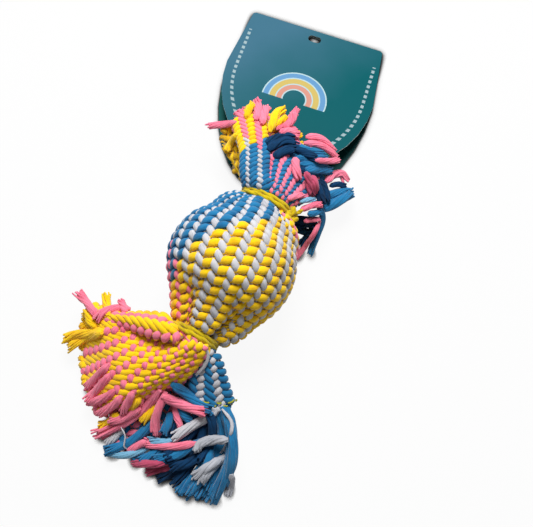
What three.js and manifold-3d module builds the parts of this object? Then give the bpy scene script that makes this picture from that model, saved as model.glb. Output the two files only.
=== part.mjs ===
// A bonbon-shaped rope dog toy. A rubber ball is wrapped in a square of thick woven cotton, the cloth is
// tied with cord on both sides of the ball, and its two ends open into fringed fans of cloth and yarn tails.
// A folded header card is pinned under the upper end.
// Millimetres, +Z up. +X runs along the toy towards the header card, +Y is to the left of that, and the toy
// lies on the plane z = 0, which the flat under the ball touches at the origin.
import * as THREE from 'three';
import { mergeVertices } from 'three/addons/utils/BufferGeometryUtils.js';
import Module from 'manifold-3d';

const wasm = await Module();
wasm.setup();

// Ball and the cloth round it
const CORE_DIAMETER = 62;
const CLOTH_THICKNESS = 6.7;
const REST_FLAT_DEPTH = 0.5;
const FIT = 0.3;

// Necks, where the cloth is gathered and tied
const NECK_DIAMETER = 25.6;
const NECK_DROP = 8;
const DROP_STARTS = 10;
const NECK_WALL = 2.6;
const LOWER_CUP_WALL = 2.2;
const UPPER_CUP_WALL = 3.2;
const CUP_SLACK = 0.4;
const VENT_DIAMETER = 6;
const PLEAT_COUNT = 10;
const PLEAT_DEPTH = 1;

// Tie cords and their knots; a knot's angle is counted from +Y towards +Z
const TIE_CORD_DIAMETER = 2.2;
const TIE_TURNS = 2;
const TIE_PITCH = 2.75;
const TIE_STEPS_PER_TURN = 24;
const TIE_SIDES = 6;
const KNOT_DIAMETER = 7.2;
const KNOT_FLAT = 2.6;
const BOSS_ANGLE = 18;
const LOWER_KNOT_ANGLE = -98;
const UPPER_KNOT_ANGLE = 184;

// Cloth panels of the two ends
const PANEL_THICKNESS = 6;
const LAYER_GAP = 1.5;
const PANEL_DROOP = 1.3;
const QUICK_DROOP = 0.7;

// Yarn tails of the fringes
const TAIL_DIAMETER = 5;
const TAIL_TIP_DIAMETER = 3.6;

// Header card, folded along its top edge, and the nylon pin that holds it
const CARD_THICKNESS = 0.8;
const CARD_TOP_WIDTH = 93;
const CARD_WIDTH = 102;
const CARD_FRONT_LENGTH = 107;
const CARD_BACK_LENGTH = 125;
const CARD_FLARE_LENGTH = 45;
// Shift to the right for each millimetre from the fold, as the card is cut askew
const CARD_LEAN = 0.05;
const CARD_CORNER_RADIUS = 1.5;
const CARD_OPEN_ANGLE = 7;
const CARD_TURN = 8;
const CARD_FOLD_OUT = 136;
const CARD_FOLD_LEFT = 35;
const CARD_CLEARANCE = 3.7;
const SLOT_LENGTH = 9;
const SLOT_WIDTH = 5.2;
const SLOT_DEPTH = 6.5;
const PIN_DEPTH = 91;
const PIN_DIAMETER = 1.2;
const PIN_BAR_LENGTH = 9;

// Places that follow from the sizes above
const coreRadius = CORE_DIAMETER / 2;
const cavityRadius = coreRadius + FIT;
const ballRadius = cavityRadius + CLOTH_THICKNESS;
const ballHeight = ballRadius - REST_FLAT_DEPTH;
const neckRadius = NECK_DIAMETER / 2;
const neckHeight = ballHeight - NECK_DROP;
const cupRadius = neckRadius + CUP_SLACK;
const tieRadius = neckRadius + FIT + TIE_CORD_DIAMETER / 2;
const knotReach = tieRadius + TIE_CORD_DIAMETER / 2 + FIT + KNOT_DIAMETER / 2;
const tieLift = Math.acos(tieRadius / knotReach);
const tieHalfTravel = TIE_PITCH * (TIE_TURNS - tieLift / Math.PI) / 2;
const tieHalfWidth = tieHalfTravel + TIE_CORD_DIAMETER / 2;

function neckReach(cupWall) {
  return Math.sqrt((cavityRadius + cupWall + cupRadius) ** 2 - NECK_DROP ** 2);
}

const LOWER = { side: -1, reach: neckReach(LOWER_CUP_WALL), knotAngle: LOWER_KNOT_ANGLE };
const UPPER = { side: 1, reach: neckReach(UPPER_CUP_WALL), knotAngle: UPPER_KNOT_ANGLE };

// Materials, one per kind of stuff
function matte(color, roughness) {
  return new THREE.MeshStandardMaterial({ color, roughness, metalness: 0 });
}

const RUBBER = matte(0x2f8f6a, 0.6);
const CLOTH = matte(0xe6dcb0, 0.95);
const CORD = matte(0xd6c010, 0.8);
const CARD = matte(0x1f6f78, 0.5);
const NYLON = matte(0xe8ecef, 0.35);
const YARN = {
  pink: matte(0xf08ca6, 0.95),
  yellow: matte(0xffd400, 0.95),
  blue: matte(0x1f6ea6, 0.95),
  white: matte(0xe2e2ec, 0.95),
};

// Small helpers
const rad = THREE.MathUtils.degToRad;
const mix = THREE.MathUtils.lerp;
const smooth = THREE.MathUtils.smoothstep;

function signedVolume(points, triangles) {
  let total = 0;
  for (const [a, b, c] of triangles) {
    total += points[a].dot(new THREE.Vector3().crossVectors(points[b], points[c]));
  }
  return total / 6;
}

// A closed mesh from points and triangles, turned so that its faces point out
function closedMesh(points, triangles) {
  const outward = signedVolume(points, triangles) > 0;
  const index = triangles.flatMap(([a, b, c]) => (outward ? [a, b, c] : [a, c, b]));
  const geometry = new THREE.BufferGeometry();
  geometry.setAttribute('position', new THREE.Float32BufferAttribute(points.flatMap((p) => p.toArray()), 3));
  geometry.setIndex(index);
  return geometry;
}

function quad(a, b, c, d) {
  return [[a, b, c], [a, c, d]];
}

// Rings of equal size joined into a tube, with a fan of triangles over each end
function closedRings(rings) {
  const sides = rings[0].length;
  const points = rings.flat();
  const triangles = [];
  for (let i = 0; i + 1 < rings.length; i += 1) {
    for (let k = 0; k < sides; k += 1) {
      const next = (k + 1) % sides;
      triangles.push(...quad(i * sides + k, i * sides + next, (i + 1) * sides + next, (i + 1) * sides + k));
    }
  }
  const last = (rings.length - 1) * sides;
  for (let k = 1; k + 1 < sides; k += 1) {
    triangles.push([0, k + 1, k], [last, last + k, last + k + 1]);
  }
  return closedMesh(points, triangles);
}

// A tube along points, its section carried along without twist
function tube(path, radii, sides) {
  const normal = new THREE.Vector3();
  const rings = path.map((point, i) => {
    const before = path[Math.max(i - 1, 0)];
    const after = path[Math.min(i + 1, path.length - 1)];
    const tangent = after.clone().sub(before).normalize();
    if (i === 0) {
      const aside = Math.abs(tangent.z) < 0.9 ? new THREE.Vector3(0, 0, 1) : new THREE.Vector3(0, 1, 0);
      normal.crossVectors(tangent, aside);
    }
    normal.addScaledVector(tangent, -normal.dot(tangent)).normalize();
    const binormal = new THREE.Vector3().crossVectors(tangent, normal);
    return Array.from({ length: sides }, (_, k) => {
      const turn = 2 * Math.PI * k / sides;
      return point.clone()
        .addScaledVector(normal, radii[i] * Math.cos(turn))
        .addScaledVector(binormal, radii[i] * Math.sin(turn));
    });
  });
  return closedRings(rings);
}

function toSolid(geometry) {
  const bare = geometry.clone();
  bare.deleteAttribute('normal');
  bare.deleteAttribute('uv');
  const merged = mergeVertices(bare, 1e-5);
  return new wasm.Manifold(new wasm.Mesh({
    numProp: 3,
    vertProperties: new Float32Array(merged.attributes.position.array),
    triVerts: new Uint32Array(merged.index.array),
  }));
}

function toGeometry(solid) {
  const mesh = solid.getMesh();
  const geometry = new THREE.BufferGeometry();
  geometry.setAttribute('position', new THREE.BufferAttribute(new Float32Array(mesh.vertProperties), 3));
  geometry.setIndex(new THREE.BufferAttribute(new Uint32Array(mesh.triVerts), 1));
  return geometry;
}

function cut(geometry, ...tools) {
  return toGeometry(tools.reduce((solid, tool) => solid.subtract(toSolid(tool)), toSolid(geometry)));
}

function sphere(radius, center, around, down) {
  return new THREE.SphereGeometry(radius, around, down).translate(...center);
}

const toy = new THREE.Group();

function add(name, geometry, material, parent = toy) {
  const mesh = new THREE.Mesh(geometry, material);
  mesh.name = name;
  parent.add(mesh);
}

// Ball: the rubber core, and the cloth round it with a gathered neck on each side
const rimGap = tieHalfWidth + FIT;
const rimRadius = neckRadius + NECK_WALL;

// The angle from the middle of the ball at which the cloth leaves it, to run straight to the rim of a neck
function leavingAngle(end) {
  const rim = new THREE.Vector2(end.reach - rimGap, rimRadius);
  return Math.acos(rim.y / rim.length()) - Math.acos(ballRadius / rim.length());
}

function onBall(angle) {
  return new THREE.Vector2(ballRadius * Math.sin(angle), ballRadius * Math.cos(angle));
}

function wrapOutline() {
  const ballSteps = 12;
  const shoulderSteps = 5;
  const [lowerAngle, upperAngle] = [LOWER, UPPER].map(leavingAngle);
  const shoulder = (end, step) => {
    const rim = new THREE.Vector2(end.side * (end.reach - rimGap), rimRadius);
    return onBall(end.side * leavingAngle(end)).lerp(rim, step / shoulderSteps);
  };
  const steps = Array.from({ length: shoulderSteps }, (_, i) => i + 1);
  const round = Array.from({ length: ballSteps + 1 }, (_, i) => onBall(mix(-lowerAngle, upperAngle, i / ballSteps)));
  const lower = steps.map((step) => shoulder(LOWER, step)).reverse();
  return [...lower, ...round, ...steps.map((step) => shoulder(UPPER, step))];
}

function wrapRing({ x, y: radius }) {
  const sidesPerPleat = 4;
  const sides = PLEAT_COUNT * sidesPerPleat;
  const end = x < 0 ? LOWER : UPPER;
  const pleat = PLEAT_DEPTH * smooth(Math.abs(x), onBall(leavingAngle(end)).x, end.reach - rimGap);
  const drop = NECK_DROP * smooth(Math.abs(x), DROP_STARTS, end.reach - cupRadius);
  return Array.from({ length: sides }, (_, k) => {
    const turn = 2 * Math.PI * k / sides;
    const r = radius + pleat * Math.cos(PLEAT_COUNT * turn);
    return new THREE.Vector3(x, r * Math.cos(turn), ballHeight - drop + r * Math.sin(turn));
  });
}

function ballWrap() {
  const pole = [0, 0, ballHeight];
  const floor = new THREE.BoxGeometry(2 * ballRadius, 2 * ballRadius, ballRadius).translate(0, 0, -ballRadius / 2);
  const tools = [sphere(cavityRadius, pole, 28, 16), floor];
  for (const { side, reach } of [LOWER, UPPER]) {
    tools.push(sphere(cupRadius, [side * reach, 0, neckHeight], 24, 12));
    const vent = new THREE.CylinderGeometry(VENT_DIAMETER / 2, VENT_DIAMETER / 2, cupRadius, 10);
    tools.push(vent.rotateZ(Math.PI / 2).translate(side * (reach - cupRadius), 0, neckHeight));
  }
  return cut(closedRings(wrapOutline().map(wrapRing)), ...tools);
}

add('core_ball', sphere(coreRadius, [0, 0, ballHeight], 24, 14), RUBBER);
add('ball_wrap', ballWrap(), CLOTH);

// Ties: an unbroken cord from the knot, twice round the neck and back to the knot
function knotPlace(end) {
  const angle = rad(end.knotAngle);
  return new THREE.Vector3(
    end.side * end.reach, knotReach * Math.cos(angle), neckHeight + knotReach * Math.sin(angle));
}

function tiePoint(end, turn, along) {
  const angle = turn + rad(end.knotAngle);
  return new THREE.Vector3(
    end.side * end.reach + along,
    tieRadius * Math.cos(angle),
    neckHeight + tieRadius * Math.sin(angle));
}

function tiePath(end) {
  const sweep = 2 * Math.PI * TIE_TURNS - 2 * tieLift;
  const steps = Math.round(TIE_STEPS_PER_TURN * sweep / (2 * Math.PI));
  const path = Array.from({ length: steps + 1 }, (_, i) => {
    const share = i / steps;
    return tiePoint(end, tieLift + share * sweep, mix(-tieHalfTravel, tieHalfTravel, share));
  });
  const beside = TIE_CORD_DIAMETER / 2 + FIT;
  const knotEnd = (tangentPoint, along) => {
    const knot = knotPlace(end).setX(end.side * end.reach + along);
    const run = tangentPoint.clone().sub(knot);
    return knot.addScaledVector(run.clone().normalize(), KNOT_FLAT + FIT);
  };
  return [knotEnd(path[0], -beside), ...path, knotEnd(path[steps], beside)];
}

// The least space between the cord's own turns, on points half a turn or more apart
function leastGap(path) {
  const apart = TIE_STEPS_PER_TURN / 2;
  let least = Infinity;
  for (let i = 0; i < path.length; i += 1) {
    for (let k = i + apart; k < path.length; k += 1) {
      least = Math.min(least, path[i].distanceTo(path[k]));
    }
  }
  return least - TIE_CORD_DIAMETER;
}

function tie(name, end) {
  const path = tiePath(end);
  console.log(`${name}: least gap between turns ${leastGap(path).toFixed(2)} mm`);
  add(name, tube(path, path.map(() => TIE_CORD_DIAMETER / 2), TIE_SIDES), CORD);
}

// A knot is a lump with one flat face square to each cord end
function knot(name, end) {
  const place = knotPlace(end);
  const lump = new THREE.SphereGeometry(KNOT_DIAMETER / 2, 14, 9).translate(...place.toArray());
  const path = tiePath(end);
  const flats = [[path[1], path[0]], [path.at(-2), path.at(-1)]].map(([from, to]) => {
    const away = from.clone().sub(to).setX(0).normalize();
    const block = new THREE.BoxGeometry(KNOT_DIAMETER * 2, KNOT_DIAMETER * 2, KNOT_DIAMETER);
    block.translate(0, 0, KNOT_DIAMETER / 2 + KNOT_FLAT);
    block.applyQuaternion(new THREE.Quaternion().setFromUnitVectors(new THREE.Vector3(0, 0, 1), away));
    return block.translate(...place.toArray());
  });
  add(name, cut(lump, ...flats), CORD);
}

// The gathered cloth inside a tie is round, so that the end of the toy turns in it. A boss on its outer side
// carries the panels, whose roots pass over the tie when the end turns
const bossRadius = tieRadius + TIE_CORD_DIAMETER / 2;
const rootSeat = bossRadius + 2 * FIT;

function gather(name, end) {
  const length = 2 * bossRadius;
  const cone = new THREE.ConeGeometry(length * Math.tan(rad(BOSS_ANGLE)), length, 20);
  cone.translate(0, -length / 2, 0).rotateZ(end.side * Math.PI / 2);
  const boss = toSolid(sphere(bossRadius, [0, 0, 0], 28, 16)).intersect(toSolid(cone));
  const round = toSolid(sphere(neckRadius, [0, 0, 0], 20, 12));
  add(name, toGeometry(round.add(boss)).translate(end.side * end.reach, 0, neckHeight), CLOTH);
}

tie('lower_tie', LOWER);
knot('lower_tie_knot', LOWER);
gather('lower_gather', LOWER);
tie('upper_tie', UPPER);
knot('upper_tie_knot', UPPER);
gather('upper_gather', UPPER);

// Panels: each is a thick sheet whose root lies on the gather and whose far edge follows the hem points.
// Hem points are [out from the neck, left of the neck, height of the underside]; a root runs between two
// angles from the outward axis, positive to the left, and sits in the upper or the lower of two layers.
const layerRise = (PANEL_THICKNESS + LAYER_GAP) / 2;
const secondLayer = PANEL_THICKNESS + LAYER_GAP;
const foldHeight = CARD_THICKNESS + FIT / 2;
const cardTop = foldHeight + CARD_FRONT_LENGTH * Math.sin(rad(CARD_OPEN_ANGLE)) + CARD_THICKNESS;
const overCard = cardTop + CARD_CLEARANCE;
const overUnder = overCard + secondLayer;

function definePanel({ end, root, layer, hem, droop = PANEL_DROOP, folds = 1, foldDepth = 0, arch = 0 }) {
  const curve = new THREE.CatmullRomCurve3(hem.map((p) => new THREE.Vector3(...p)), false, 'centripetal');
  return { end, root, rise: layer * layerRise, curve, droop, folds, foldDepth, arch };
}

// A point of a panel: t runs from root to hem, v along the hem, and half is 1 on top and -1 underneath
function panelPoint(panel, t, v, half) {
  const rise = panel.rise + half * PANEL_THICKNESS / 2;
  const seat = Math.sqrt(rootSeat ** 2 - rise ** 2);
  const angle = rad(mix(...panel.root, v));
  const hem = panel.curve.getPointAt(v);
  const hemHeight = hem.z + (1 + half) * PANEL_THICKNESS / 2;
  const fold = panel.foldDepth * t * t * Math.sin(2 * Math.PI * panel.folds * v);
  const out = mix(seat * Math.cos(angle), hem.x, t);
  const left = mix(seat * Math.sin(angle), hem.y, t);
  const height = mix(neckHeight + rise, hemHeight, t ** panel.droop) + panel.arch * 4 * t * (1 - t) + fold;
  return new THREE.Vector3(panel.end.side * (panel.end.reach + out), left, height);
}

function panelGeometry(panel) {
  const rows = 8;
  const columns = 12;
  const stride = columns + 1;
  const points = [];
  for (const half of [1, -1]) {
    for (let i = 0; i <= rows; i += 1) {
      for (let k = 0; k <= columns; k += 1) {
        points.push(panelPoint(panel, i / rows, k / columns, half));
      }
    }
  }
  const under = (rows + 1) * stride;
  const triangles = [];
  for (let i = 0; i < rows; i += 1) {
    for (let k = 0; k < columns; k += 1) {
      const a = i * stride + k;
      triangles.push(...quad(a, a + 1, a + stride + 1, a + stride));
      triangles.push(...quad(under + a, under + a + stride, under + a + stride + 1, under + a + 1));
    }
  }
  const wall = (a, b) => triangles.push(...quad(b, a, under + a, under + b));
  for (let k = 0; k < columns; k += 1) {
    wall(k, k + 1);
    wall(rows * stride + k + 1, rows * stride + k);
  }
  for (let i = 0; i < rows; i += 1) {
    wall((i + 1) * stride, i * stride);
    wall(i * stride + columns, (i + 1) * stride + columns);
  }
  return closedMesh(points, triangles);
}

// A tail leaves the hem square to it at v, then turns sideways and falls; it never goes under the floor
function tailGeometry(panel, v, length, turn, fall) {
  const steps = 4;
  const sides = 6;
  const step = 0.01;
  const root = panelPoint(panel, 1, v, 0);
  const along = panelPoint(panel, 1, Math.min(v + step, 1), 0).sub(panelPoint(panel, 1, Math.max(v - step, 0), 0));
  const inward = panelPoint(panel, 0.9, v, 0).sub(root);
  const away = new THREE.Vector3(along.y, -along.x, 0).normalize();
  if (away.dot(inward) > 0) {
    away.negate();
  }
  const foot = root.clone().addScaledVector(away, FIT);
  const start = foot.clone().addScaledVector(away, TAIL_DIAMETER / 4);
  const bend = away.clone().applyAxisAngle(new THREE.Vector3(0, 0, 1), -panel.end.side * rad(turn));
  const middle = start.clone().addScaledVector(away, length / 2);
  const tip = start.clone().addScaledVector(bend, length);
  tip.z = Math.max(root.z - fall, TAIL_TIP_DIAMETER / 2);
  const curve = new THREE.QuadraticBezierCurve3(start, middle, tip);
  const path = [foot, ...curve.getPoints(steps)];
  const radii = path.map((_, i) => mix(TAIL_DIAMETER, TAIL_TIP_DIAMETER, i / (steps + 1)) / 2);
  return tube(path, radii, sides);
}

// Tails are [colour, place along the hem, length, turn to the right of straight out, fall of the tip]
function fringe(prefix, panel, tails) {
  tails.forEach(([colour, v, length, turn, fall], i) => {
    add(`${prefix}_tail_${i + 1}_${colour}`, tailGeometry(panel, v, length, turn, fall), YARN[colour]);
  });
}

// Lower end: a wide pink and yellow panel over a floor layer, and a blue and white panel on the right
const lowerPinkYellow = definePanel({
  end: LOWER,
  root: [58, -2],
  layer: 1,
  hem: [[9, 65, secondLayer + 2], [41, 51, secondLayer + 1], [67, 25, secondLayer], [33, -2, secondLayer + 11]],
  folds: 2.5,
  foldDepth: 0.9,
});
const lowerBlueWhite = definePanel({
  end: LOWER,
  root: [-6, -56],
  layer: 1,
  hem: [[32, -17, secondLayer + 6], [29, -28, secondLayer + 3], [22, -39, secondLayer + 1]],
  foldDepth: 0.6,
});
const lowerUnder = definePanel({
  end: LOWER,
  root: [36, -20],
  layer: -1,
  hem: [[69, 20, 0], [67, -2, 0], [56, -16, 0]],
  droop: QUICK_DROOP,
});

add('lower_panel_pink_yellow', panelGeometry(lowerPinkYellow), YARN.yellow);
add('lower_panel_blue_white', panelGeometry(lowerBlueWhite), YARN.blue);
add('lower_panel_under', panelGeometry(lowerUnder), YARN.blue);
fringe('lower_left', lowerPinkYellow, [
  ['pink', 0.03, 14, -30, 0], ['yellow', 0.12, 9, 0, 1], ['yellow', 0.22, 16, 5, 3],
  ['pink', 0.33, 13, 25, 2], ['pink', 0.44, 13, 30, 2], ['pink', 0.54, 13, 25, 1],
  ['pink', 0.72, 16, -30, 2], ['pink', 0.84, 14, -10, 3],
]);
fringe('lower_right', lowerBlueWhite, [
  ['blue', 0.1, 50, 10, 12], ['white', 0.36, 44, 16, 10], ['blue', 0.62, 46, 22, 12], ['blue', 0.9, 40, 28, 12],
]);
fringe('lower_under', lowerUnder, [
  ['blue', 0.06, 12, 0, 2], ['pink', 0.3, 11, 0, 2], ['blue', 0.52, 12, 0, 2],
  ['pink', 0.72, 13, 0, 2], ['blue', 0.92, 14, 0, 2],
]);

// Upper end: a blue and white tongue that ends yellow, a yellow flap, a pink and blue panel and a layer under
// them that the card is pinned to
const upperTongue = definePanel({
  end: UPPER,
  root: [52, 6],
  layer: 1,
  hem: [[38, 48, overUnder + 2], [50, 43, overUnder + 2.5], [50, 30, overUnder + 2]],
  foldDepth: 0.8,
  arch: 3,
});
const upperYellow = definePanel({
  end: UPPER,
  root: [52, 16],
  layer: -1,
  hem: [[34, 53, overCard + 1], [24, 47, overCard], [13, 35, overCard]],
  foldDepth: 0.4,
});
const upperPinkBlue = definePanel({
  end: UPPER,
  root: [2, -34],
  layer: 1,
  hem: [[43, 5, overUnder + 2], [36, -12, overUnder - 3], [19, -24, overCard]],
  folds: 2,
  foldDepth: 0.8,
  arch: 1,
});
const upperUnder = definePanel({
  end: UPPER,
  root: [10, -26],
  layer: -1,
  hem: [[54, 38, overCard], [58, 20, overCard], [47, 0, overCard]],
  droop: QUICK_DROOP,
  foldDepth: 0.4,
});

add('upper_panel_blue_white', panelGeometry(upperTongue), YARN.blue);
add('upper_panel_yellow_pink', panelGeometry(upperYellow), YARN.yellow);
add('upper_panel_pink_blue', panelGeometry(upperPinkBlue), YARN.pink);
fringe('upper_tongue', upperTongue, [
  ['pink', 0.06, 15, -25, 1], ['yellow', 0.36, 9, 0, 0], ['pink', 0.64, 11, 10, 0], ['yellow', 0.94, 11, 20, 1],
]);
fringe('upper_left', upperYellow, [
  ['yellow', 0.3, 7, 0, 2], ['yellow', 0.75, 7, 0, 2],
]);
fringe('upper_right', upperPinkBlue, [
  ['blue', 0.05, 12, 0, 0], ['pink', 0.24, 22, 5, 8], ['blue', 0.42, 20, 5, 9], ['pink', 0.58, 20, 5, 16],
  ['blue', 0.76, 26, 5, 30], ['pink', 0.95, 26, 35, 30],
]);
fringe('upper_under', upperUnder, [
  ['yellow', 0.1, 9, 0, 0], ['pink', 0.36, 11, 0, 0], ['yellow', 0.6, 10, 0, 0], ['pink', 0.85, 14, 0, 0],
]);

// Header card: two panels that meet at the fold, the front one shorter. Its own axes: +X towards the fold, +Y to
// the left, +Z up
function stadium(x, y, length, width) {
  const path = new THREE.Path();
  const straight = (length - width) / 2;
  path.absarc(x, y + straight, width / 2, 0, Math.PI, false);
  path.absarc(x, y - straight, width / 2, Math.PI, 2 * Math.PI, false);
  path.closePath();
  return path;
}

function cardPanel(length, ...holes) {
  const edge = -FIT / 2;
  const half = CARD_WIDTH / 2;
  const topHalf = CARD_TOP_WIDTH / 2;
  const round = length - CARD_FLARE_LENGTH;
  const shape = new THREE.Shape();
  shape.moveTo(edge, topHalf - CARD_CORNER_RADIUS);
  shape.quadraticCurveTo(edge, topHalf, edge - CARD_CORNER_RADIUS, topHalf);
  shape.lineTo(-CARD_FLARE_LENGTH, half);
  shape.absellipse(-CARD_FLARE_LENGTH, 0, round, half, Math.PI / 2, 3 * Math.PI / 2, false);
  shape.lineTo(-CARD_FLARE_LENGTH, -half);
  shape.lineTo(edge - CARD_CORNER_RADIUS, -topHalf);
  shape.quadraticCurveTo(edge, -topHalf, edge, -topHalf + CARD_CORNER_RADIUS);
  shape.closePath();
  const leaning = shape.getPoints(8).map((p) => new THREE.Vector2(p.x, p.y + CARD_LEAN * p.x));
  const panel = new THREE.Shape(leaning);
  panel.holes.push(...holes);
  return new THREE.ExtrudeGeometry(panel, { depth: CARD_THICKNESS, bevelEnabled: false, curveSegments: 8 });
}

function pinHole() {
  const hole = new THREE.Path();
  hole.absarc(-PIN_DEPTH, 0, PIN_DIAMETER / 2 + FIT, 0, 2 * Math.PI, true);
  return hole;
}

const card = new THREE.Group();
card.position.set(UPPER.reach + CARD_FOLD_OUT, CARD_FOLD_LEFT, foldHeight);
card.rotation.z = rad(CARD_TURN);
const front = new THREE.Group();
front.rotation.y = rad(CARD_OPEN_ANGLE);
card.add(front);
toy.add(card);

const hangSlot = () => stadium(-SLOT_DEPTH, 0, SLOT_LENGTH, SLOT_WIDTH);
add('card_back', cardPanel(CARD_BACK_LENGTH, hangSlot()).translate(0, 0, -FIT / 2 - CARD_THICKNESS), CARD, card);
add('card_front', cardPanel(CARD_FRONT_LENGTH, hangSlot(), pinHole()).translate(0, 0, FIT / 2), CARD, front);

// Nylon pin: a bar under the front panel, a thread up through the cloth layer, and a bar on top of that
card.updateMatrixWorld(true);
const pinFoot = new THREE.Vector3(-PIN_DEPTH, 0, 0).applyMatrix4(front.matrixWorld);

function pinTop() {
  const steps = 40;
  const flat = new THREE.Vector2(pinFoot.x, pinFoot.y);
  let best = new THREE.Vector3();
  let least = Infinity;
  for (let i = 0; i <= steps; i += 1) {
    for (let k = 0; k <= steps; k += 1) {
      const point = panelPoint(upperUnder, i / steps, k / steps, 1);
      const distance = flat.distanceTo(new THREE.Vector2(point.x, point.y));
      if (distance < least) {
        least = distance;
        best = point;
      }
    }
  }
  return best.z - pinFoot.z;
}

function pinBar(height) {
  const bar = new THREE.CylinderGeometry(PIN_DIAMETER / 2, PIN_DIAMETER / 2, PIN_BAR_LENGTH, 8);
  return bar.translate(-PIN_DEPTH, 0, height);
}

function tagPin() {
  const low = -(PIN_DIAMETER / 2 + FIT / 2);
  const high = pinTop() + FIT + PIN_DIAMETER;
  const thread = new THREE.CylinderGeometry(PIN_DIAMETER / 2, PIN_DIAMETER / 2, high - low, 8);
  thread.rotateX(Math.PI / 2).translate(-PIN_DEPTH, 0, (low + high) / 2);
  return toGeometry(toSolid(thread).add(toSolid(pinBar(low))).add(toSolid(pinBar(high))));
}

function pinnedLayer() {
  const bore = new THREE.CylinderGeometry(PIN_DIAMETER / 2 + FIT, PIN_DIAMETER / 2 + FIT, 4 * overCard, 10);
  bore.rotateX(Math.PI / 2).translate(-PIN_DEPTH, 0, 0).applyMatrix4(front.matrixWorld);
  return cut(panelGeometry(upperUnder), bore);
}

add('upper_panel_under', pinnedLayer(), YARN.pink);
add('tag_pin', tagPin(), NYLON, front);

export default toy;
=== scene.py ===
"""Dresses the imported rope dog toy: woven yarn on its ball and ends, fringes, tie cords and the header card.

Lengths are in millimetres until a mesh is made. +X runs along the toy towards the card, +Y is left, +Z is up.
"""
import math
from dataclasses import dataclass

import bpy
import numpy as np
from mathutils import Matrix


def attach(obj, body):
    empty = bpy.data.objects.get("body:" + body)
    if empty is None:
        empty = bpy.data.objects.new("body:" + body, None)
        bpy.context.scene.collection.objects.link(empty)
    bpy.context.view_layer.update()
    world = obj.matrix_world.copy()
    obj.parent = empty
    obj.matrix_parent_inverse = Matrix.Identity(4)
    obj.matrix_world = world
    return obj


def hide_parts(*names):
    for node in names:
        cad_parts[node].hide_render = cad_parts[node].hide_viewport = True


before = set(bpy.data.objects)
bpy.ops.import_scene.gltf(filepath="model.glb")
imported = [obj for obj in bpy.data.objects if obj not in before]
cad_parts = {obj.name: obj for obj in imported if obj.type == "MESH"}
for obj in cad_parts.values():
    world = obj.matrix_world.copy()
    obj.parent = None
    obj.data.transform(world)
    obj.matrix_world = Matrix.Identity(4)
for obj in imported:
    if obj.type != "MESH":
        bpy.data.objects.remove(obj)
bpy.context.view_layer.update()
rng = np.random.default_rng(7)

MM = 0.001
UP = np.array([0.0, 0.0, 1.0])
FLOOR_GAP = 0.1

# Sizes shared with the solids
BALL_HEIGHT = 37.5
NECK_HEIGHT = 29.5
CLOTH_RADIUS = 35.6
# An end's neck is a radius stretched by wide and flat; full swells its shoulder, and tie is the tie's radii
LOWER = {"side": -1, "reach": 46.01, "neck": 11.6, "wide": 1.05, "flat": 1.0,
         "full": 0.0, "shift": 0.0, "tie": (14.2, 13.6)}
UPPER = {"side": 1, "reach": 45.2, "neck": 11.6, "wide": 1.18, "flat": 0.82,
         "full": 4.2, "shift": 2.0, "tie": (15.7, 11.5)}
ENDS = {"lower": LOWER, "upper": UPPER}
# How far the ball's cloth stops short of the tie's middle, and how far inside the tie the panels start
RIM_INSET = 1.0
ROOT_INSET = 3.0

# Weave: a column is one repeat of the twill, and a bump is one step along a column
BUMP = 5.5
BALL_COLUMNS = 22


def unit(v):
    return v / np.maximum(np.linalg.norm(v, axis=-1, keepdims=True), 1e-9)


def smooth(x, low, high):
    t = np.clip((np.asarray(x, float) - low) / (high - low), 0, 1)
    return t * t * (3 - 2 * t)


def travelled(points):
    """The length along a line of points, from its first to each of them."""
    return np.concatenate([[0], np.cumsum(np.linalg.norm(np.diff(points, axis=0), axis=1))])


def path_frame(path, normal):
    """Unit directions at each point of a path: along it, near normal but square to that, and across both."""
    tangent = unit(np.gradient(path, axis=0))
    normal = np.broadcast_to(normal, path.shape)
    normal = unit(normal - (normal * tangent).sum(1, keepdims=True) * tangent)
    return tangent, normal, np.cross(tangent, normal)


# Materials
WHITE = (1, 1, 1, 1)


def rgba(colour):
    return (*[c / 12.92 if c <= 0.04045 else ((c + 0.055) / 1.055) ** 2.4 for c in colour], 1.0)


class Nodes:
    """The nodes of a material or world, with short ways to add and join them."""

    def __init__(self, tree):
        self.tree = tree

    def put(self, socket, value):
        if isinstance(value, bpy.types.NodeSocket):
            self.tree.links.new(value, socket)
        else:
            socket.default_value = value

    def set(self, node, inputs):
        for name, value in inputs.items():
            self.put(node.inputs[name], value)

    def add(self, kind, inputs=None):
        node = self.tree.nodes.new(kind)
        self.set(node, inputs or {})
        return node

    def number(self, operation, *values):
        """One sum on sockets or plain numbers."""
        node = self.tree.nodes.new("ShaderNodeMath")
        node.operation = operation
        for socket, value in zip(node.inputs, values):
            self.put(socket, value)
        return node.outputs[0]

    def noise(self, place, scale, detail=2.0, roughness=0.5):
        inputs = {"Vector": place, "Scale": scale, "Detail": detail, "Roughness": roughness}
        return self.add("ShaderNodeTexNoise", inputs).outputs["Fac"]

    def ramp(self, value, low, high, middle=None):
        """Turns a value into a colour; low, high and middle are each a position and a colour."""
        node = self.add("ShaderNodeValToRGB", {"Fac": value})
        stops = node.color_ramp.elements
        for stop, (position, colour) in zip(stops, (low, high)):
            stop.position = position
            stop.color = rgba(colour)
        if middle:
            stops.new(middle[0]).color = rgba(middle[1])
        return node.outputs["Color"]

    def paint(self, under, colour, mask):
        """Lays a colour over another where the mask is 1."""
        node = self.tree.nodes.new("ShaderNodeMix")
        node.data_type = "RGBA"
        self.set(node, {"Factor": mask, "A": under, "B": rgba(colour)})
        return node.outputs["Result"]


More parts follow.
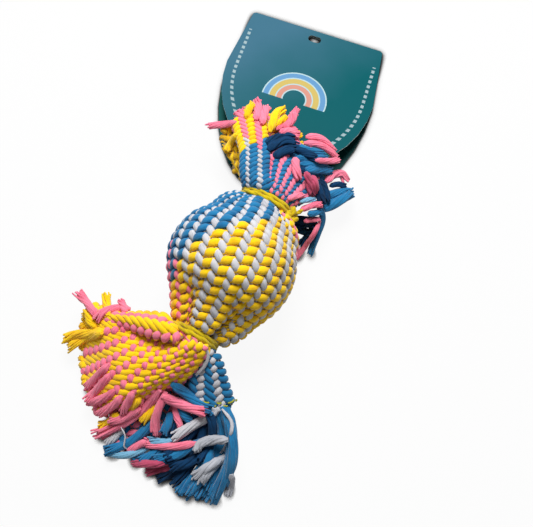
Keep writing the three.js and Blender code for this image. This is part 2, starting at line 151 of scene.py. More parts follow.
def principled(name, roughness, sheen=0.0, specular=0.25):
    """A material, its nodes and its shader."""
    mat = bpy.data.materials.new(name)
    mat.use_nodes = True
    nodes = Nodes(mat.node_tree)
    shader = mat.node_tree.nodes["Principled BSDF"]
    nodes.set(shader, {"Roughness": roughness, "Specular IOR Level": specular})
    nodes.set(shader, {"Sheen Weight": sheen, "Sheen Roughness": 0.5})
    return mat, nodes, shader


def yarn_material(name, colour, shade, fibre_scale=1.0, sheen=0.25):
    """Soft cotton: fine fibres along the strand and slow changes of tone."""
    mat, nodes, shader = principled(name, 0.92, sheen)
    uv = nodes.add("ShaderNodeUVMap")
    uv.uv_map = "yarn"
    stretch = {"Vector": uv.outputs["UV"], "Scale": (5.0, 0.9 * fibre_scale, 1.0), "Rotation": (0, 0, 0.35)}
    along = nodes.add("ShaderNodeMapping", stretch)
    fibre = nodes.noise(along.outputs["Vector"], scale=3.2, detail=4, roughness=0.65)
    place = nodes.add("ShaderNodeTexCoord")
    tone = nodes.noise(place.outputs["Object"], scale=90)
    middle = [0.35 * s + 0.65 * c for s, c in zip(shade, colour)]
    look = nodes.ramp(nodes.number("ADD", fibre, tone), (0.55, shade), (1.0, colour), (0.85, middle))
    bump = nodes.add("ShaderNodeBump", {"Strength": 0.45, "Distance": 0.5 * MM, "Height": fibre})
    nodes.set(shader, {"Base Color": look, "Normal": bump.outputs["Normal"]})
    return mat


def plain_material(name, colour, shade, roughness, scale, detail):
    """A plain surface with a fine grain."""
    mat, nodes, shader = principled(name, roughness)
    place = nodes.add("ShaderNodeTexCoord")
    grain = nodes.noise(place.outputs["Object"], scale, detail)
    nodes.set(shader, {"Base Color": nodes.ramp(grain, (0.0, shade), (1.0, colour))})
    return mat


YARN = {
    "yellow": yarn_material("yarn_yellow", (0.98, 0.80, 0.02), (0.86, 0.60, 0.0)),
    # gold is a darker copy of yellow: painted shade for the yellow flap that lies in shadow
    "gold": yarn_material("yarn_gold", (0.84, 0.66, 0.04), (0.60, 0.42, 0.0)),
    "white": yarn_material("yarn_white", (0.77, 0.77, 0.79), (0.55, 0.55, 0.58)),
    "blue": yarn_material("yarn_blue", (0.10, 0.45, 0.64), (0.03, 0.28, 0.46)),
    "pink": yarn_material("yarn_pink", (0.95, 0.50, 0.60), (0.80, 0.29, 0.40)),
    # rose is a darker copy of pink: painted shade for pink strands that lie in shadow
    "rose": yarn_material("yarn_rose", (0.74, 0.30, 0.42), (0.56, 0.16, 0.28)),
    "navy": yarn_material("yarn_navy", (0.01, 0.21, 0.36), (0.0, 0.04, 0.11), sheen=0.03),
    "grey": yarn_material("yarn_grey", (0.70, 0.71, 0.74), (0.46, 0.48, 0.52)),
    "pale": yarn_material("yarn_pale_blue", (0.46, 0.68, 0.80), (0.25, 0.48, 0.64)),
}
CORD = yarn_material("tie_cord", (0.80, 0.70, 0.01), (0.57, 0.47, 0.0), 2.0)
LIME = yarn_material("stitch_thread", (0.66, 0.66, 0.14), (0.45, 0.47, 0.06), 2.0)
# Painted shade: a dark brownish sheet under the yarns, seen only in the gaps of the weave, stands in for the
# shadow deep between them
GAP_SHADE = plain_material("cloth_gap_shade", (0.66, 0.59, 0.44), (0.48, 0.41, 0.28), 0.95, 600, 2)


# Meshes
class Build:
    """Collects strands into one mesh with a material for each colour."""

    # A strand ends in two smaller rings: their sizes, and how far out they are, as shares of its own size
    TIP_SIZES, TIP_REACH = np.array([0.45, 0.85]), np.array([0.55, 0.2])
    # The length of strand that one unit of its texture covers, and how far the textures of strands lie apart
    TEXTURE_LENGTH, TEXTURE_SHIFT = 10, 50

    def __init__(self):
        self.points, self.faces, self.slots, self.uvs, self.count = [], [], [], [], 0
        self.materials = []

    def slot(self, material):
        if material not in self.materials:
            self.materials.append(material)
        return self.materials.index(material)

    def tipped(self, sizes):
        return np.concatenate([sizes[0] * self.TIP_SIZES, sizes, sizes[-1] * self.TIP_SIZES[::-1]])

    def tube(self, path, normal, half_width, half_height, sides, material):
        """A strand along path. normal is the direction of half_height, and half_width lies across both."""
        path = np.asarray(path, float)
        half_width = np.broadcast_to(np.asarray(half_width, float), len(path))
        half_height = np.broadcast_to(np.asarray(half_height, float), len(path))
        tangent, normal, across = path_frame(path, normal)
        first = path[0] - tangent[0] * half_width[0] * self.TIP_REACH[:, None]
        last = path[-1] + tangent[-1] * half_width[-1] * self.TIP_REACH[::-1, None]
        path = np.concatenate([first, path, last])
        half_width, half_height = self.tipped(half_width), self.tipped(half_height)
        normal, across = (np.pad(v, ((2, 2), (0, 0)), mode="edge") for v in (normal, across))
        n = len(path)
        turn = 2 * np.pi * np.arange(sides) / sides
        rings = (
            path[:, None]
            + across[:, None] * (half_width[:, None] * np.cos(turn))[..., None]
            + normal[:, None] * (half_height[:, None] * np.sin(turn))[..., None]
        )
        index = self.count + np.arange(n * sides).reshape(n, sides)
        after = np.roll(index, -1, axis=1)
        quads = np.stack([index[:-1], after[:-1], after[1:], index[1:]], -1).reshape(-1, 4)
        self.points.append(rings.reshape(-1, 3))
        self.faces += quads.tolist() + [index[0, ::-1].tolist(), index[-1].tolist()]
        self.slots.append(np.full(len(quads) + 2, self.slot(material)))
        self.lay_texture(travelled(path) / self.TEXTURE_LENGTH + rng.random() * self.TEXTURE_SHIFT, sides)
        self.count += n * sides

    def lay_texture(self, along, sides):
        """Texture places of a strand's sides and of its two end faces."""
        u = np.arange(sides + 1) / sides
        left, right = u[None, :-1], u[None, 1:]
        low, high = along[:-1, None], along[1:, None]
        corners = (left, low), (right, low), (right, high), (left, high)
        places = np.stack([np.stack(np.broadcast_arrays(*corner), -1) for corner in corners], 2)
        self.uvs.append(places.reshape(-1, 2))
        for end in (along[0], along[-1]):
            self.uvs.append(np.column_stack([u[:-1], np.full(sides, end)]))

    def object(self, name):
        mesh = bpy.data.meshes.new(name)
        points = np.concatenate(self.points)
        points[:, 2] = np.maximum(points[:, 2], FLOOR_GAP)
        mesh.from_pydata((points * MM).tolist(), [], self.faces)
        for material in self.materials:
            mesh.materials.append(material)
        mesh.polygons.foreach_set("material_index", np.concatenate(self.slots).astype(np.int32))
        mesh.polygons.foreach_set("use_smooth", np.ones(len(mesh.polygons), bool))
        layer = mesh.uv_layers.new(name="yarn")
        layer.data.foreach_set("uv", np.concatenate(self.uvs).astype(np.float32).ravel())
        mesh.validate()
        return link(name, mesh)


def link(name, data):
    obj = bpy.data.objects.new(name, data)
    bpy.context.scene.collection.objects.link(obj)
    return obj


def grid_object(name, grid, material):
    """A smooth sheet through a grid of points."""
    rows, columns = grid.shape[:2]
    index = np.arange(rows * columns).reshape(rows, columns)
    faces = np.stack([index[:-1, :-1], index[:-1, 1:], index[1:, 1:], index[1:, :-1]], -1).reshape(-1, 4)
    mesh = bpy.data.meshes.new(name)
    mesh.from_pydata((grid.reshape(-1, 3) * MM).tolist(), [], faces.tolist())
    mesh.polygons.foreach_set("use_smooth", np.ones(len(mesh.polygons), bool))
    mesh.materials.append(material)
    return link(name, mesh)


# The camera that was fitted to the photograph, also used to place the loose yarns
EYE = np.array([-121.022, -87.172, 494.185])
FORWARD = np.array([0.27284581, 0.14507469, -0.95105652])
RIGHT = np.array([0.46947156, -0.88294759, 0.0])
ABOVE = np.array([0.83973306, 0.44649399, 0.30901699])
FOCUS, WIDTH, HEIGHT = 833.684, 533, 527


def at(x, y, z):
    """The point at height z that the photograph shows at pixel x, y."""
    ray = FORWARD + (x - WIDTH / 2) / FOCUS * RIGHT - (y - HEIGHT / 2) / FOCUS * ABOVE
    return EYE + (z - EYE[2]) / ray[2] * ray


def pixel(points):
    """Where the photograph shows points."""
    d = np.asarray(points, float) - EYE
    depth = d @ FORWARD
    return np.stack([WIDTH / 2 + FOCUS * (d @ RIGHT) / depth, HEIGHT / 2 - FOCUS * (d @ ABOVE) / depth], -1)


def curve(points, count):
    """Points spaced evenly along a smooth curve through the given ones."""
    p = np.asarray(points, float)
    if len(p) == 2:
        p = np.array([p[0], p.mean(0), p[1]])
    p = np.concatenate([[2 * p[0] - p[1]], p, [2 * p[-1] - p[-2]]])
    t = np.linspace(0, 1, 24)[:, None]
    parts = []
    for a, b, c, d in zip(p, p[1:], p[2:], p[3:]):
        square, cube = 2 * a - 5 * b + 4 * c - d, 3 * b - a - 3 * c + d
        parts.append(0.5 * (2 * b + (c - a) * t + square * t**2 + cube * t**3))
    return spaced(np.concatenate(parts), count)


def spaced(points, count):
    length = travelled(points)
    at_length = np.linspace(0, length[-1], count)
    return np.column_stack([np.interp(at_length, length, points[:, k]) for k in range(3)])


# Cloth: a surface addressed by U, in columns, and S, in bumps along a column
class BallCloth:
    """The cloth round the ball, from tie to tie, with its pleats and creases."""

    bump = BUMP
    # Turn of the columns along the toy, in radians for each millimetre
    TWIST = 0.003
    PLEATS, PLEAT_START, PLEAT_DEPTH = 5, -2.8, 1.9
    # How far the cloth is pleated at the lower and upper tie, and over which distances from the ball's middle
    LOWER_PLEATS, UPPER_PLEATS = (0.7, 16, 38), (0.5, 24, 44)
    # Folds at the lower tie: column, width in columns, height, and over which distances each rises and ends
    FOLDS = [
        (-5.0, 1.5, 2.0, (18, 34), (38, 45)),
        (-2.8, 0.9, -5.0, (16, 36), (41, 46)),
        (1.6, 0.6, -3.0, (17, 33), (40, 46)),
    ]
    # Distances from the ball's middle over which the cloth sinks, takes the neck's shape and is tied flat
    SINKING, NECKING, TYING = (10, 33), (26, 44), (42, 46)

    def __init__(self):
        lower, upper = self.leaving(LOWER), self.leaving(UPPER)
        angles = np.linspace(-lower, upper, 121)
        ball = CLOTH_RADIUS * np.column_stack([np.sin(angles), np.cos(angles)])
        lower, upper = self.shoulder(LOWER, ball[0]), self.shoulder(UPPER, ball[-1])
        profile = np.concatenate([lower[::-1], ball, upper])
        length = travelled(profile)
        middle = np.interp(0, profile[:, 0], length)
        self.s, self.x, self.r = (length - middle) / BUMP, profile[:, 0], profile[:, 1]
        self.low, self.high = self.s[0], self.s[-1]

    @staticmethod
    def leaving(end):
        """The angle from the ball's middle where the cloth leaves it, to run straight to the tie."""
        reach = math.hypot(end["reach"] - RIM_INSET, end["neck"])
        return math.acos(end["neck"] / reach) - math.acos(CLOTH_RADIUS / reach)

    @staticmethod
    def shoulder(end, start):
        """The cloth from the ball to the tie, swollen by the end's fullness."""
        share = np.linspace(0, 1, 41)[1:]
        rim = np.array([end["side"] * (end["reach"] - RIM_INSET), end["neck"]])
        line = start + share[:, None] * (rim - start)
        line[:, 1] += end["full"] * np.sin(np.pi * share)
        return line

    def point(self, u, s):
        x, r = np.interp(s, self.s, self.x), np.interp(s, self.s, self.r)
        share, wave = self.gather(u, x)
        phi = 2 * np.pi * u / BALL_COLUMNS + self.TWIST * x - share / self.PLEATS * np.sin(wave)
        loose_share = (1 - smooth(np.abs(x), *self.TYING)) * 0.8 + 0.2
        r = r - self.PLEAT_DEPTH * loose_share * share * np.cos(wave)
        turn = (u + BALL_COLUMNS / 2) % BALL_COLUMNS - BALL_COLUMNS / 2
        for column, width, height, rises, ends in self.FOLDS:
            across = np.exp(-(((turn - column) / width) ** 2))
            r = r + height * (across * smooth(-x, *rises) * (1 - smooth(-x, *ends)))
        wide, flat, shift = 1.0, 1.0, 0.0
        for end in (LOWER, UPPER):
            necked = smooth(end["side"] * x, *self.NECKING)
            wide = wide + (end["wide"] - 1) * necked
            flat = flat + (end["flat"] - 1) * necked
            shift = shift + end["shift"] * necked
        middle = BALL_HEIGHT - (BALL_HEIGHT - NECK_HEIGHT) * smooth(np.abs(x), *self.SINKING)
        return np.stack([x, shift + r * wide * np.sin(phi), middle + r * flat * np.cos(phi)], -1)

    def gather(self, u, x):
        """How far the cloth is pleated at x, and where U lies in its pleat; a crease is at 0."""
        lower, upper = self.LOWER_PLEATS, self.UPPER_PLEATS
        share = lower[0] * smooth(-x, *lower[1:]) + upper[0] * smooth(x, *upper[1:])
        return share, 2 * np.pi * self.PLEATS * (u - self.PLEAT_START) / BALL_COLUMNS

    def inside(self, u, s):
        return (s >= self.low) & (s <= self.high)

    def pitch(self, u, s):
        """The width of a column before the cloth is creased."""
        share, wave = self.gather(u, np.interp(s, self.s, self.x))
        return 2 * np.pi * np.interp(s, self.s, self.r) / BALL_COLUMNS * (1 - share * np.cos(wave))


def guide_line(end, guide):
    """A guide line of a panel: pixels with heights, or angles round the neck, from +Y to +Z."""
    points = []
    for place in guide:
        if isinstance(place, tuple):
            points.append(at(*place))
        else:
            angle = math.radians(place)
            wide, high = (radius - ROOT_INSET for radius in end["tie"])
            x = end["side"] * (end["reach"] + 0.5)
            y = end["shift"] + wide * math.cos(angle)
            points.append(np.array([x, y, NECK_HEIGHT + high * math.sin(angle)]))
    return points


class StripCloth:
    """A cloth panel through guide lines that run from its neck to its hem; its side edges roll under."""

    ROWS, COLUMNS, EDGE = 64, 61, 12
    LOWEST, MOST_ROLLED, LEAST_STEP = 2.0, 2.8, 0.35

    def __init__(self, guides, columns, roll, bump):
        self.columns, self.roll, self.bump = columns, roll, bump
        lines = np.stack([curve(guide, self.ROWS) for guide in guides], axis=1)
        self.flat = np.stack([curve(row, self.COLUMNS) for row in lines])
        self.grid = self.rolled(self.flat)
        self.grid[..., 2] = np.maximum(self.grid[..., 2], self.LOWEST)
        length = np.linalg.norm(np.diff(self.flat, axis=0), axis=2).sum(0)
        self.length = np.pad(length, self.EDGE, mode="edge")
        self.edge_v = self.EDGE / (self.COLUMNS - 1)
        self.low, self.high = 0.0, self.length.max() / bump

    def rolled(self, grid):
        """Adds columns on both sides that curl down and under."""
        parts = [grid]
        rows = unit(np.gradient(grid, axis=0))
        for first, second in ((0, 1), (-1, -2)):
            edge, along = grid[:, first], rows[:, first]
            away = edge - grid[:, second]
            step = np.maximum(np.linalg.norm(away, axis=1)[:, None], self.LEAST_STEP)
            away = unit(away - (away * along).sum(1, keepdims=True) * along)
            down = np.cross(along, away)
            down = down * -np.sign(down[:, 2:3] + 1e-9)
            extra = []
            for k in range(1, self.EDGE + 1):
                bend = np.minimum(k * step / self.roll, self.MOST_ROLLED)
                extra.append(edge + self.roll * (np.sin(bend) * away + (1 - np.cos(bend)) * down))
            extra = np.stack(extra, 1)
            parts = [extra[:, ::-1], *parts] if first == 0 else [*parts, extra]
        return np.concatenate(parts, axis=1)

    def place(self, u):
        """Where U lies across the panel, its column in the grid, and the panel's length there."""
        v = u / self.columns
        column = np.clip((v + self.edge_v) / (1 + 2 * self.edge_v), 0, 1) * (self.grid.shape[1] - 1)
        return v, column, np.interp(column, np.arange(len(self.length)), self.length)

    def point(self, u, s):
        _, column, length = self.place(u)
        row = np.clip(s * self.bump / length, 0, 1) * (self.ROWS - 1)
        i = np.clip(row.astype(int), 0, self.ROWS - 2)
        k = np.clip(column.astype(int), 0, self.grid.shape[1] - 2)
        down, across = (row - i)[..., None], (column - k)[..., None]
        near = self.grid[i, k] * (1 - across) + self.grid[i, k + 1] * across
        far = self.grid[i + 1, k] * (1 - across) + self.grid[i + 1, k + 1] * across
        return near * (1 - down) + far * down

    def inside(self, u, s):
        v, _, length = self.place(u)
        return (v > -self.edge_v) & (v < 1 + self.edge_v) & (s >= 0) & (s * self.bump <= length)

    def pitch(self, u, s):
        return np.linalg.norm(self.point(u + 0.5, s) - self.point(u - 0.5, s), axis=-1)


def surface_frame(cloth, u, s):
    """Points, unit normals and the two derivatives of a cloth at U and S."""
    h = 0.06
    e_u = (cloth.point(u + h, s) - cloth.point(u - h, s)) / (2 * h)
    e_s = (cloth.point(u, s + h) - cloth.point(u, s - h)) / (2 * h)
    return cloth.point(u, s), unit(np.cross(e_u, e_s)), e_u, e_s


def runs(mask):
    """The unbroken stretches where mask is true."""
    edges = np.flatnonzero(np.diff(np.concatenate([[0], mask.astype(int), [0]])))
    return [slice(a, b) for a, b in zip(edges[::2], edges[1::2])]


def flat_wave(x, bias, sharp):
    return np.tanh(sharp * (np.sin(x) + bias)) / math.tanh(sharp)


def soften(values, reach=4):
    return np.convolve(np.pad(values, reach, mode="edge"), np.ones(2 * reach + 1) / (2 * reach + 1), "valid")


@dataclass
class Twill:
    """The look of a twill; a pair of values is for its warp and its weft.

    phase moves the columns. bias, a number or a function of U and S, makes the warp's floats longer than the
    weft's. angles lie between a float and the line across its column. fat widens the yarns, and flat is how
    flat the top of a float is.
    """

    phase: float = 0.0
    bias: float = 0.0
    angles: tuple = (32, 38)
    fat: tuple = (1.0, 1.0)
    flat: tuple = (1.3, 2.2)


# A woven yarn's half width, half height and lift, as shares of the space between two yarns, and their limits
WOVEN_WIDTH, WOVEN_HEIGHT, WOVEN_LIFT = 0.58, 0.34, 0.23
MOST_HEIGHT, MOST_LIFT = 1.5, 0.9
LEAST_SPACE, MOST_SPACE = 0.9, 5.2
# Limits of a float's tilt against its yarn's straight line, and how unlike the yarns are in width and height
LEAST_TILT, MOST_TILT = -0.8, 0.72
WIDTH_RANGE, HEIGHT_SPREAD = (0.97, 1.04), 0.07
STEPS_IN_COLUMN, SHORTEST_RUN, WOVEN_SIDES = 14, 6, 8


def weave(parts, cloth, twill, family, slope, outward, indices, colour_of, cut=None, ends=None):
    """Lays one family of yarns: 1 for the warp, on top in the first half of each column, and -1 for the weft.

    slope is the side that a yarn moves to as S grows. parts holds the mesh for the rows up to cut and the one
    for those past it. ends collects where each yarn stops.
    """
    which = 0 if family > 0 else 1
    centre = twill.phase + (0.25, 0.75)[which]
    lean = math.tan(math.radians(twill.angles[which]))
    fat = twill.fat[which]
    for index in indices:
        u_ends = sorted((index + slope * s) / 2 for s in (cloth.low, cloth.high))
        u = np.arange(u_ends[0] - 0.3, u_ends[1] + 0.3, 1 / STEPS_IN_COLUMN)[::slope]
        s = slope * (2 * u - index)
        width = np.linalg.norm(surface_frame(cloth, u, s)[2], axis=1)
        tilt = np.clip(1 - lean * soften(width, 7) / (2 * cloth.bump), LEAST_TILT, MOST_TILT)
        s = s - slope * tilt / np.pi * np.sin(2 * np.pi * (u - centre))
        for run in runs(cloth.inside(u, s)):
            if run.stop - run.start < SHORTEST_RUN:
                continue
            uu, ss = u[run], s[run]
            p, n, _, e_s = surface_frame(cloth, uu, ss)
            n = n * outward
            step = unit(np.gradient(p, axis=0))
            space = np.clip(soften(np.linalg.norm(np.cross(e_s, step), axis=1)), LEAST_SPACE, MOST_SPACE)
            space = np.clip(space, LEAST_SPACE, np.maximum(0.6 * cloth.pitch(uu, ss), 1.4))
            favour = twill.bias(uu, ss) if callable(twill.bias) else twill.bias
            lift = family * flat_wave(2 * np.pi * (uu - twill.phase), favour, twill.flat[which])
            half_height = np.minimum(WOVEN_HEIGHT * space * fat**0.7, MOST_HEIGHT) * (1 + 0.08 * lift)
            swell = np.sqrt(np.clip((lift + 1.1) / 2.1, 0.25, 1))
            half_width = WOVEN_WIDTH * fat * space * swell * rng.uniform(*WIDTH_RANGE)
            rise = np.minimum(WOVEN_LIFT * soften(space, 7), MOST_LIFT) * lift + rng.normal(0, HEIGHT_SPREAD)
            path = p + n * rise[:, None]
            colour = colour_of(index)
            splits = [(0, len(uu), parts[-1])]
            if cut is not None:
                k = int(np.searchsorted(ss * cloth.bump, cut))
                splits = [(0, k + 1, parts[0]), (k, len(uu), parts[1])]
            for start, stop, build in splits:
                part = slice(start, min(stop, len(uu)))
                if part.stop - part.start >= 3:
                    sizes = half_width[part], half_height[part]
                    build.tube(path[part], n[part], *sizes, WOVEN_SIDES, YARN[colour])
            if ends is not None:
                ends.append((path[-1], unit(path[-1] - path[-4]), half_width[-1], colour, uu[-1], ss[-1]))


# Ball: the first blue warp yarn and the first white weft yarn, and how many of each follow
BALL_YARNS = 2 * BALL_COLUMNS
BLUE_START, BLUE_YARNS = 2.5, 22
WHITE_START, WHITE_YARNS = -15.5, 25
CLOTH_ROWS, CLOTH_STEPS = 90, 133


def ball_warp(index):
    return "blue" if (index - BLUE_START) % BALL_YARNS < BLUE_YARNS else "yellow"


def ball_weft(index):
    return "white" if (index - WHITE_START) % BALL_YARNS < WHITE_YARNS else "pink"


def ball_favour(u, s):
    """The warp's floats are longer where it is blue, and longest where the weft is pink."""
    weft, warp = (2 * u - s - WHITE_START) % BALL_YARNS, (2 * u + s - BLUE_START) % BALL_YARNS
    on_pink = smooth(weft, WHITE_YARNS - 1, WHITE_YARNS + 2) * (1 - smooth(weft, BALL_YARNS - 3, BALL_YARNS))
    on_blue = smooth(warp, 0, 2) * (1 - smooth(warp, BLUE_YARNS - 2, BLUE_YARNS))
    return 0.06 + 0.4 * on_pink + 0.14 * on_blue * (1 - on_pink)


ball = BallCloth()
warps, wefts = Build(), Build()
ball_twill = Twill(phase=0.5, bias=ball_favour)
weave([warps], ball, ball_twill, 1, -1, -1, range(BALL_YARNS), ball_warp)
weave([wefts], ball, ball_twill, -1, 1, -1, range(BALL_YARNS), ball_weft)
ball_warps, ball_wefts = warps.object("ball_yarns_warp"), wefts.object("ball_yarns_weft")
ball_round = np.linspace(-0.5, 0.5, CLOTH_STEPS) * BALL_COLUMNS
ball_grid = ball.point(*np.meshgrid(ball_round, np.linspace(ball.low, ball.high, CLOTH_ROWS)))
# The sheet under the ball's yarns wears the painted shade of the gaps
ball_cloth = grid_object("ball_cloth", ball_grid, GAP_SHADE)
for piece in (ball_cloth, ball_warps, ball_wefts):
    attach(piece, "ball")
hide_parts("ball_wrap")


def tongue_favour(u, s):
    """The warp covers more near the tie, and the weft past the turn of colour."""
    return 0.38 - 0.5 * smooth(s, 9, 12)


# Cloth panels of the two ends. Each guide line is given as pixel x, pixel y and height
PANELS = {
    "lower_under": dict(
        columns=5.5, colours=("blue", "pink"),
        guides=[
            [-40, (140, 385, 11), (106, 432, 4)],
            [-90, (168, 395, 11), (143, 449, 4)],
            [-140, (195, 400, 11), (175, 443, 4)],
        ],
    ),
    "lower_right": dict(
        columns=1.75, bump=4.7, colours=("blue", "white"), twill=Twill(0.64, 0.35, (38, 50)),
        guides=[
            [108, (200, 350, 35), (197, 372, 26), (192, 403, 15)],
            [135, (207, 352, 35), (208, 376, 27), (210, 407, 16)],
            [162, (215, 358, 32), (221, 380, 24), (229, 407, 13)],
        ],
    ),
    "lower_left": dict(
        columns=9.5, bump=5.2, colours=("yellow", "pink"), slope=-1, hem=3.5, cut=None,
        twill=Twill(0.08, 0.27, (50, 45), (1.3, 0.95), (1.3, 1.6)),
        guides=[
            [(150, 323, 29), (120, 322, 29), (103, 320, 25), (86, 319, 14)],
            [(170, 329, 31), (127, 342, 31), (107, 346, 25), (84, 350, 8)],
            [(184, 335, 35), (136, 359, 33), (112, 370, 26), (87, 382, 7)],
            [72, (186, 343, 41), (152, 370, 34), (124, 393, 26), (100, 412, 9)],
            [90, (193, 344, 43), (184, 357, 38), (165, 377, 32), (132, 403, 18)],
            [108, (201, 347, 41), (202, 355, 37), (194, 368, 31), (173, 387, 22)],
        ],
    ),
    "lower_roll": dict(
        columns=1.55, roll=5.5, bump=5.4, colours=("yellow", "pink"), slope=-1, hem=3.5,
        twill=Twill(0.87, 0.5, (50, 45), (1.15, 1.0), (1.3, 1.6)),
        guides=[
            [8, (165, 317, 37), (146, 314, 33), (120, 314, 25), (92, 306, 17)],
            [36, (167, 325, 44), (147, 320, 41), (120, 317, 32), (88, 313, 19)],
            [64, (172, 336, 43), (150, 331, 40), (122, 323, 31), (88, 319, 18)],
        ],
    ),
    "upper_under": dict(
        columns=4.5, colours=("yellow", "pink"), hem=3.0,
        guides=[
            [-40, (262, 160, 22), (258, 114, 22)],
            [-90, (278, 160, 22), (284, 121, 22)],
            [-140, (294, 178, 22), (304, 148, 22)],
        ],
    ),
    "upper_flap": dict(
        # The darker gold warp is painted shade on this flap, which lies in shadow
        columns=2.0, bump=6.5, colours=("gold", "yellow"), hem=3.0,
        guides=[
            [22, (240, 160, 26), (226, 128, 25)],
            [0, (237, 168, 24), (224, 146, 23)],
            [-22, (243, 178, 23), (233, 165, 22)],
        ],
    ),
    "upper_right": dict(
        columns=4.5, bump=3.6, colours=("blue", "pink"), twill=Twill(0.0, 0.15, (50, 50)),
        guides=[
            [80, (270, 183, 42), (272, 170, 40), (276, 155, 38), (290, 140, 32)],
            [115, (281, 190, 41), (286, 178, 38), (296, 164, 34), (311, 158, 28)],
            [155, (294, 202, 34), (303, 196, 30), (311, 191, 26), (318, 192, 22)],
        ],
    ),
    "upper_tongue": dict(
        columns=1.95, bump=3.3, colours=("blue", "white"), turn=(10.2, "yellow", "pink"), roll=2.4, hem=5.0,
        twill=Twill(0.75, tongue_favour, (45, 35)),
        guides=[
            [4, (244, 182, 37), (243, 168, 39), (243, 150, 38), (235, 120, 32)],
            [42, (255, 182, 43), (254, 168, 43), (252, 148, 41), (248, 109, 33)],
            [76, (266, 184, 43), (265, 170, 42), (265, 150, 40), (263, 117, 32)],
        ],
    ),
}
NODES = {
    "lower_left": "lower_panel_pink_yellow",
    "lower_right": "lower_panel_blue_white",
    "lower_under": "lower_panel_under",
    "upper_tongue": "upper_panel_blue_white",
    "upper_flap": "upper_panel_yellow_pink",
    "upper_right": "upper_panel_pink_blue",
    "upper_under": "upper_panel_under",
}
# The usual radius of a panel's rolled edge, and how many of its columns the cloth under the yarns leaves out
ROLL, EDGE_LEFT_OUT = 3.2, 2
# The length of cloth at the tie that stays with the neck
COLLAR = 9.0
cloths, yarn_ends, sheets = {}, {}, {}
collars = {where: Build() for where in ENDS}


def lay_panel(name, spec):
    """Weaves a panel over its cloth; its yarns up to the cut belong to the collar of its end."""
    where = name.split("_")[0]
    guides = [guide_line(ENDS[where], guide) for guide in spec["guides"]]
    cloth = StripCloth(guides, spec["columns"], spec.get("roll", ROLL), spec.get("bump", BUMP))
    warp_colour, weft_colour = spec["colours"]
    border, far_warp, far_weft = spec.get("turn", (math.inf, warp_colour, weft_colour))

    def warp(index):
        return far_warp if index < cloth.columns - border else warp_colour

    def weft(index):
        return far_weft if index > cloth.columns + border else weft_colour

    _, normals, _, _ = surface_frame(cloth, np.full(9, cloth.columns / 2), np.linspace(1, cloth.high - 1, 9))
    outward = np.sign(normals[:, 2].sum())
    span = range(int(-cloth.high - 6), int(2 * cloth.columns + cloth.high + 8))
    twill, cut, slope = spec.get("twill", Twill()), spec.get("cut", COLLAR), spec.get("slope", 1)
    build, ends = Build(), []
    weave([collars[where], build], cloth, twill, 1, slope, outward, span, warp, cut, ends)
    weave([collars[where], build], cloth, twill, -1, -slope, outward, span, weft, cut, ends)
    yarns = build.object(f"{name}_yarns")
    grid = cloth.grid[:, EDGE_LEFT_OUT:-EDGE_LEFT_OUT]
    # The sheet under the panel's yarns wears the painted shade of the gaps
    base = grid_object(f"{name}_cloth", grid, GAP_SHADE)
    for piece in (yarns, base):
        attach(piece, f"{where}_fan")
    if name in NODES:
        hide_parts(NODES[name])
    cloths[name], yarn_ends[name], sheets[name] = cloth, ends, (base, grid, [yarns])


for name, spec in PANELS.items():
    lay_panel(name, spec)
for where in ENDS:
    collar = collars[where].object(f"{where}_collar")
    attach(collar, f"{where}_neck")
    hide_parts(f"{where}_gather")
    sheets[f"{where}_under"][2].append(collar)

# Tie cords: twice round the neck and knotted. A cord's radius comes with the length of its plies' twist
TIE_TURNS, TIE_WIDTH, TIE_STEPS = 2, 4.4, 140
KNOT_SIZE, KNOT_LIFT = 1.25, 2.4
TIE_CORD, KNOT_CORD, LEG_CORD, TIP_CORD = (1.45, 16.0), (1.7, 9.0), (1.4, 6.0), (1.3, 6.0)
CORD_STEP = 0.7
# How far a ply lies from the cord's middle, and its own radius, as shares of the cord's
PLY_OFFSET, PLY_RADIUS = 0.32, 0.78
STRAND_SIDES = 6


def cord(build, path, normal, size):
    """Two plies twisted along path; normal is one direction, or gives the direction at each point."""
    radius, pitch = size
    path = spaced(path, max(12, int(travelled(path)[-1] / CORD_STEP)))
    _, normal, across = path_frame(path, normal(path) if callable(normal) else normal)
    for half in (0, np.pi):
        angle = (2 * np.pi * travelled(path) / pitch + half)[:, None]
        line = path + radius * PLY_OFFSET * (np.cos(angle) * normal + np.sin(angle) * across)
        build.tube(line, normal, radius * PLY_RADIUS, radius * PLY_RADIUS, STRAND_SIDES, CORD)


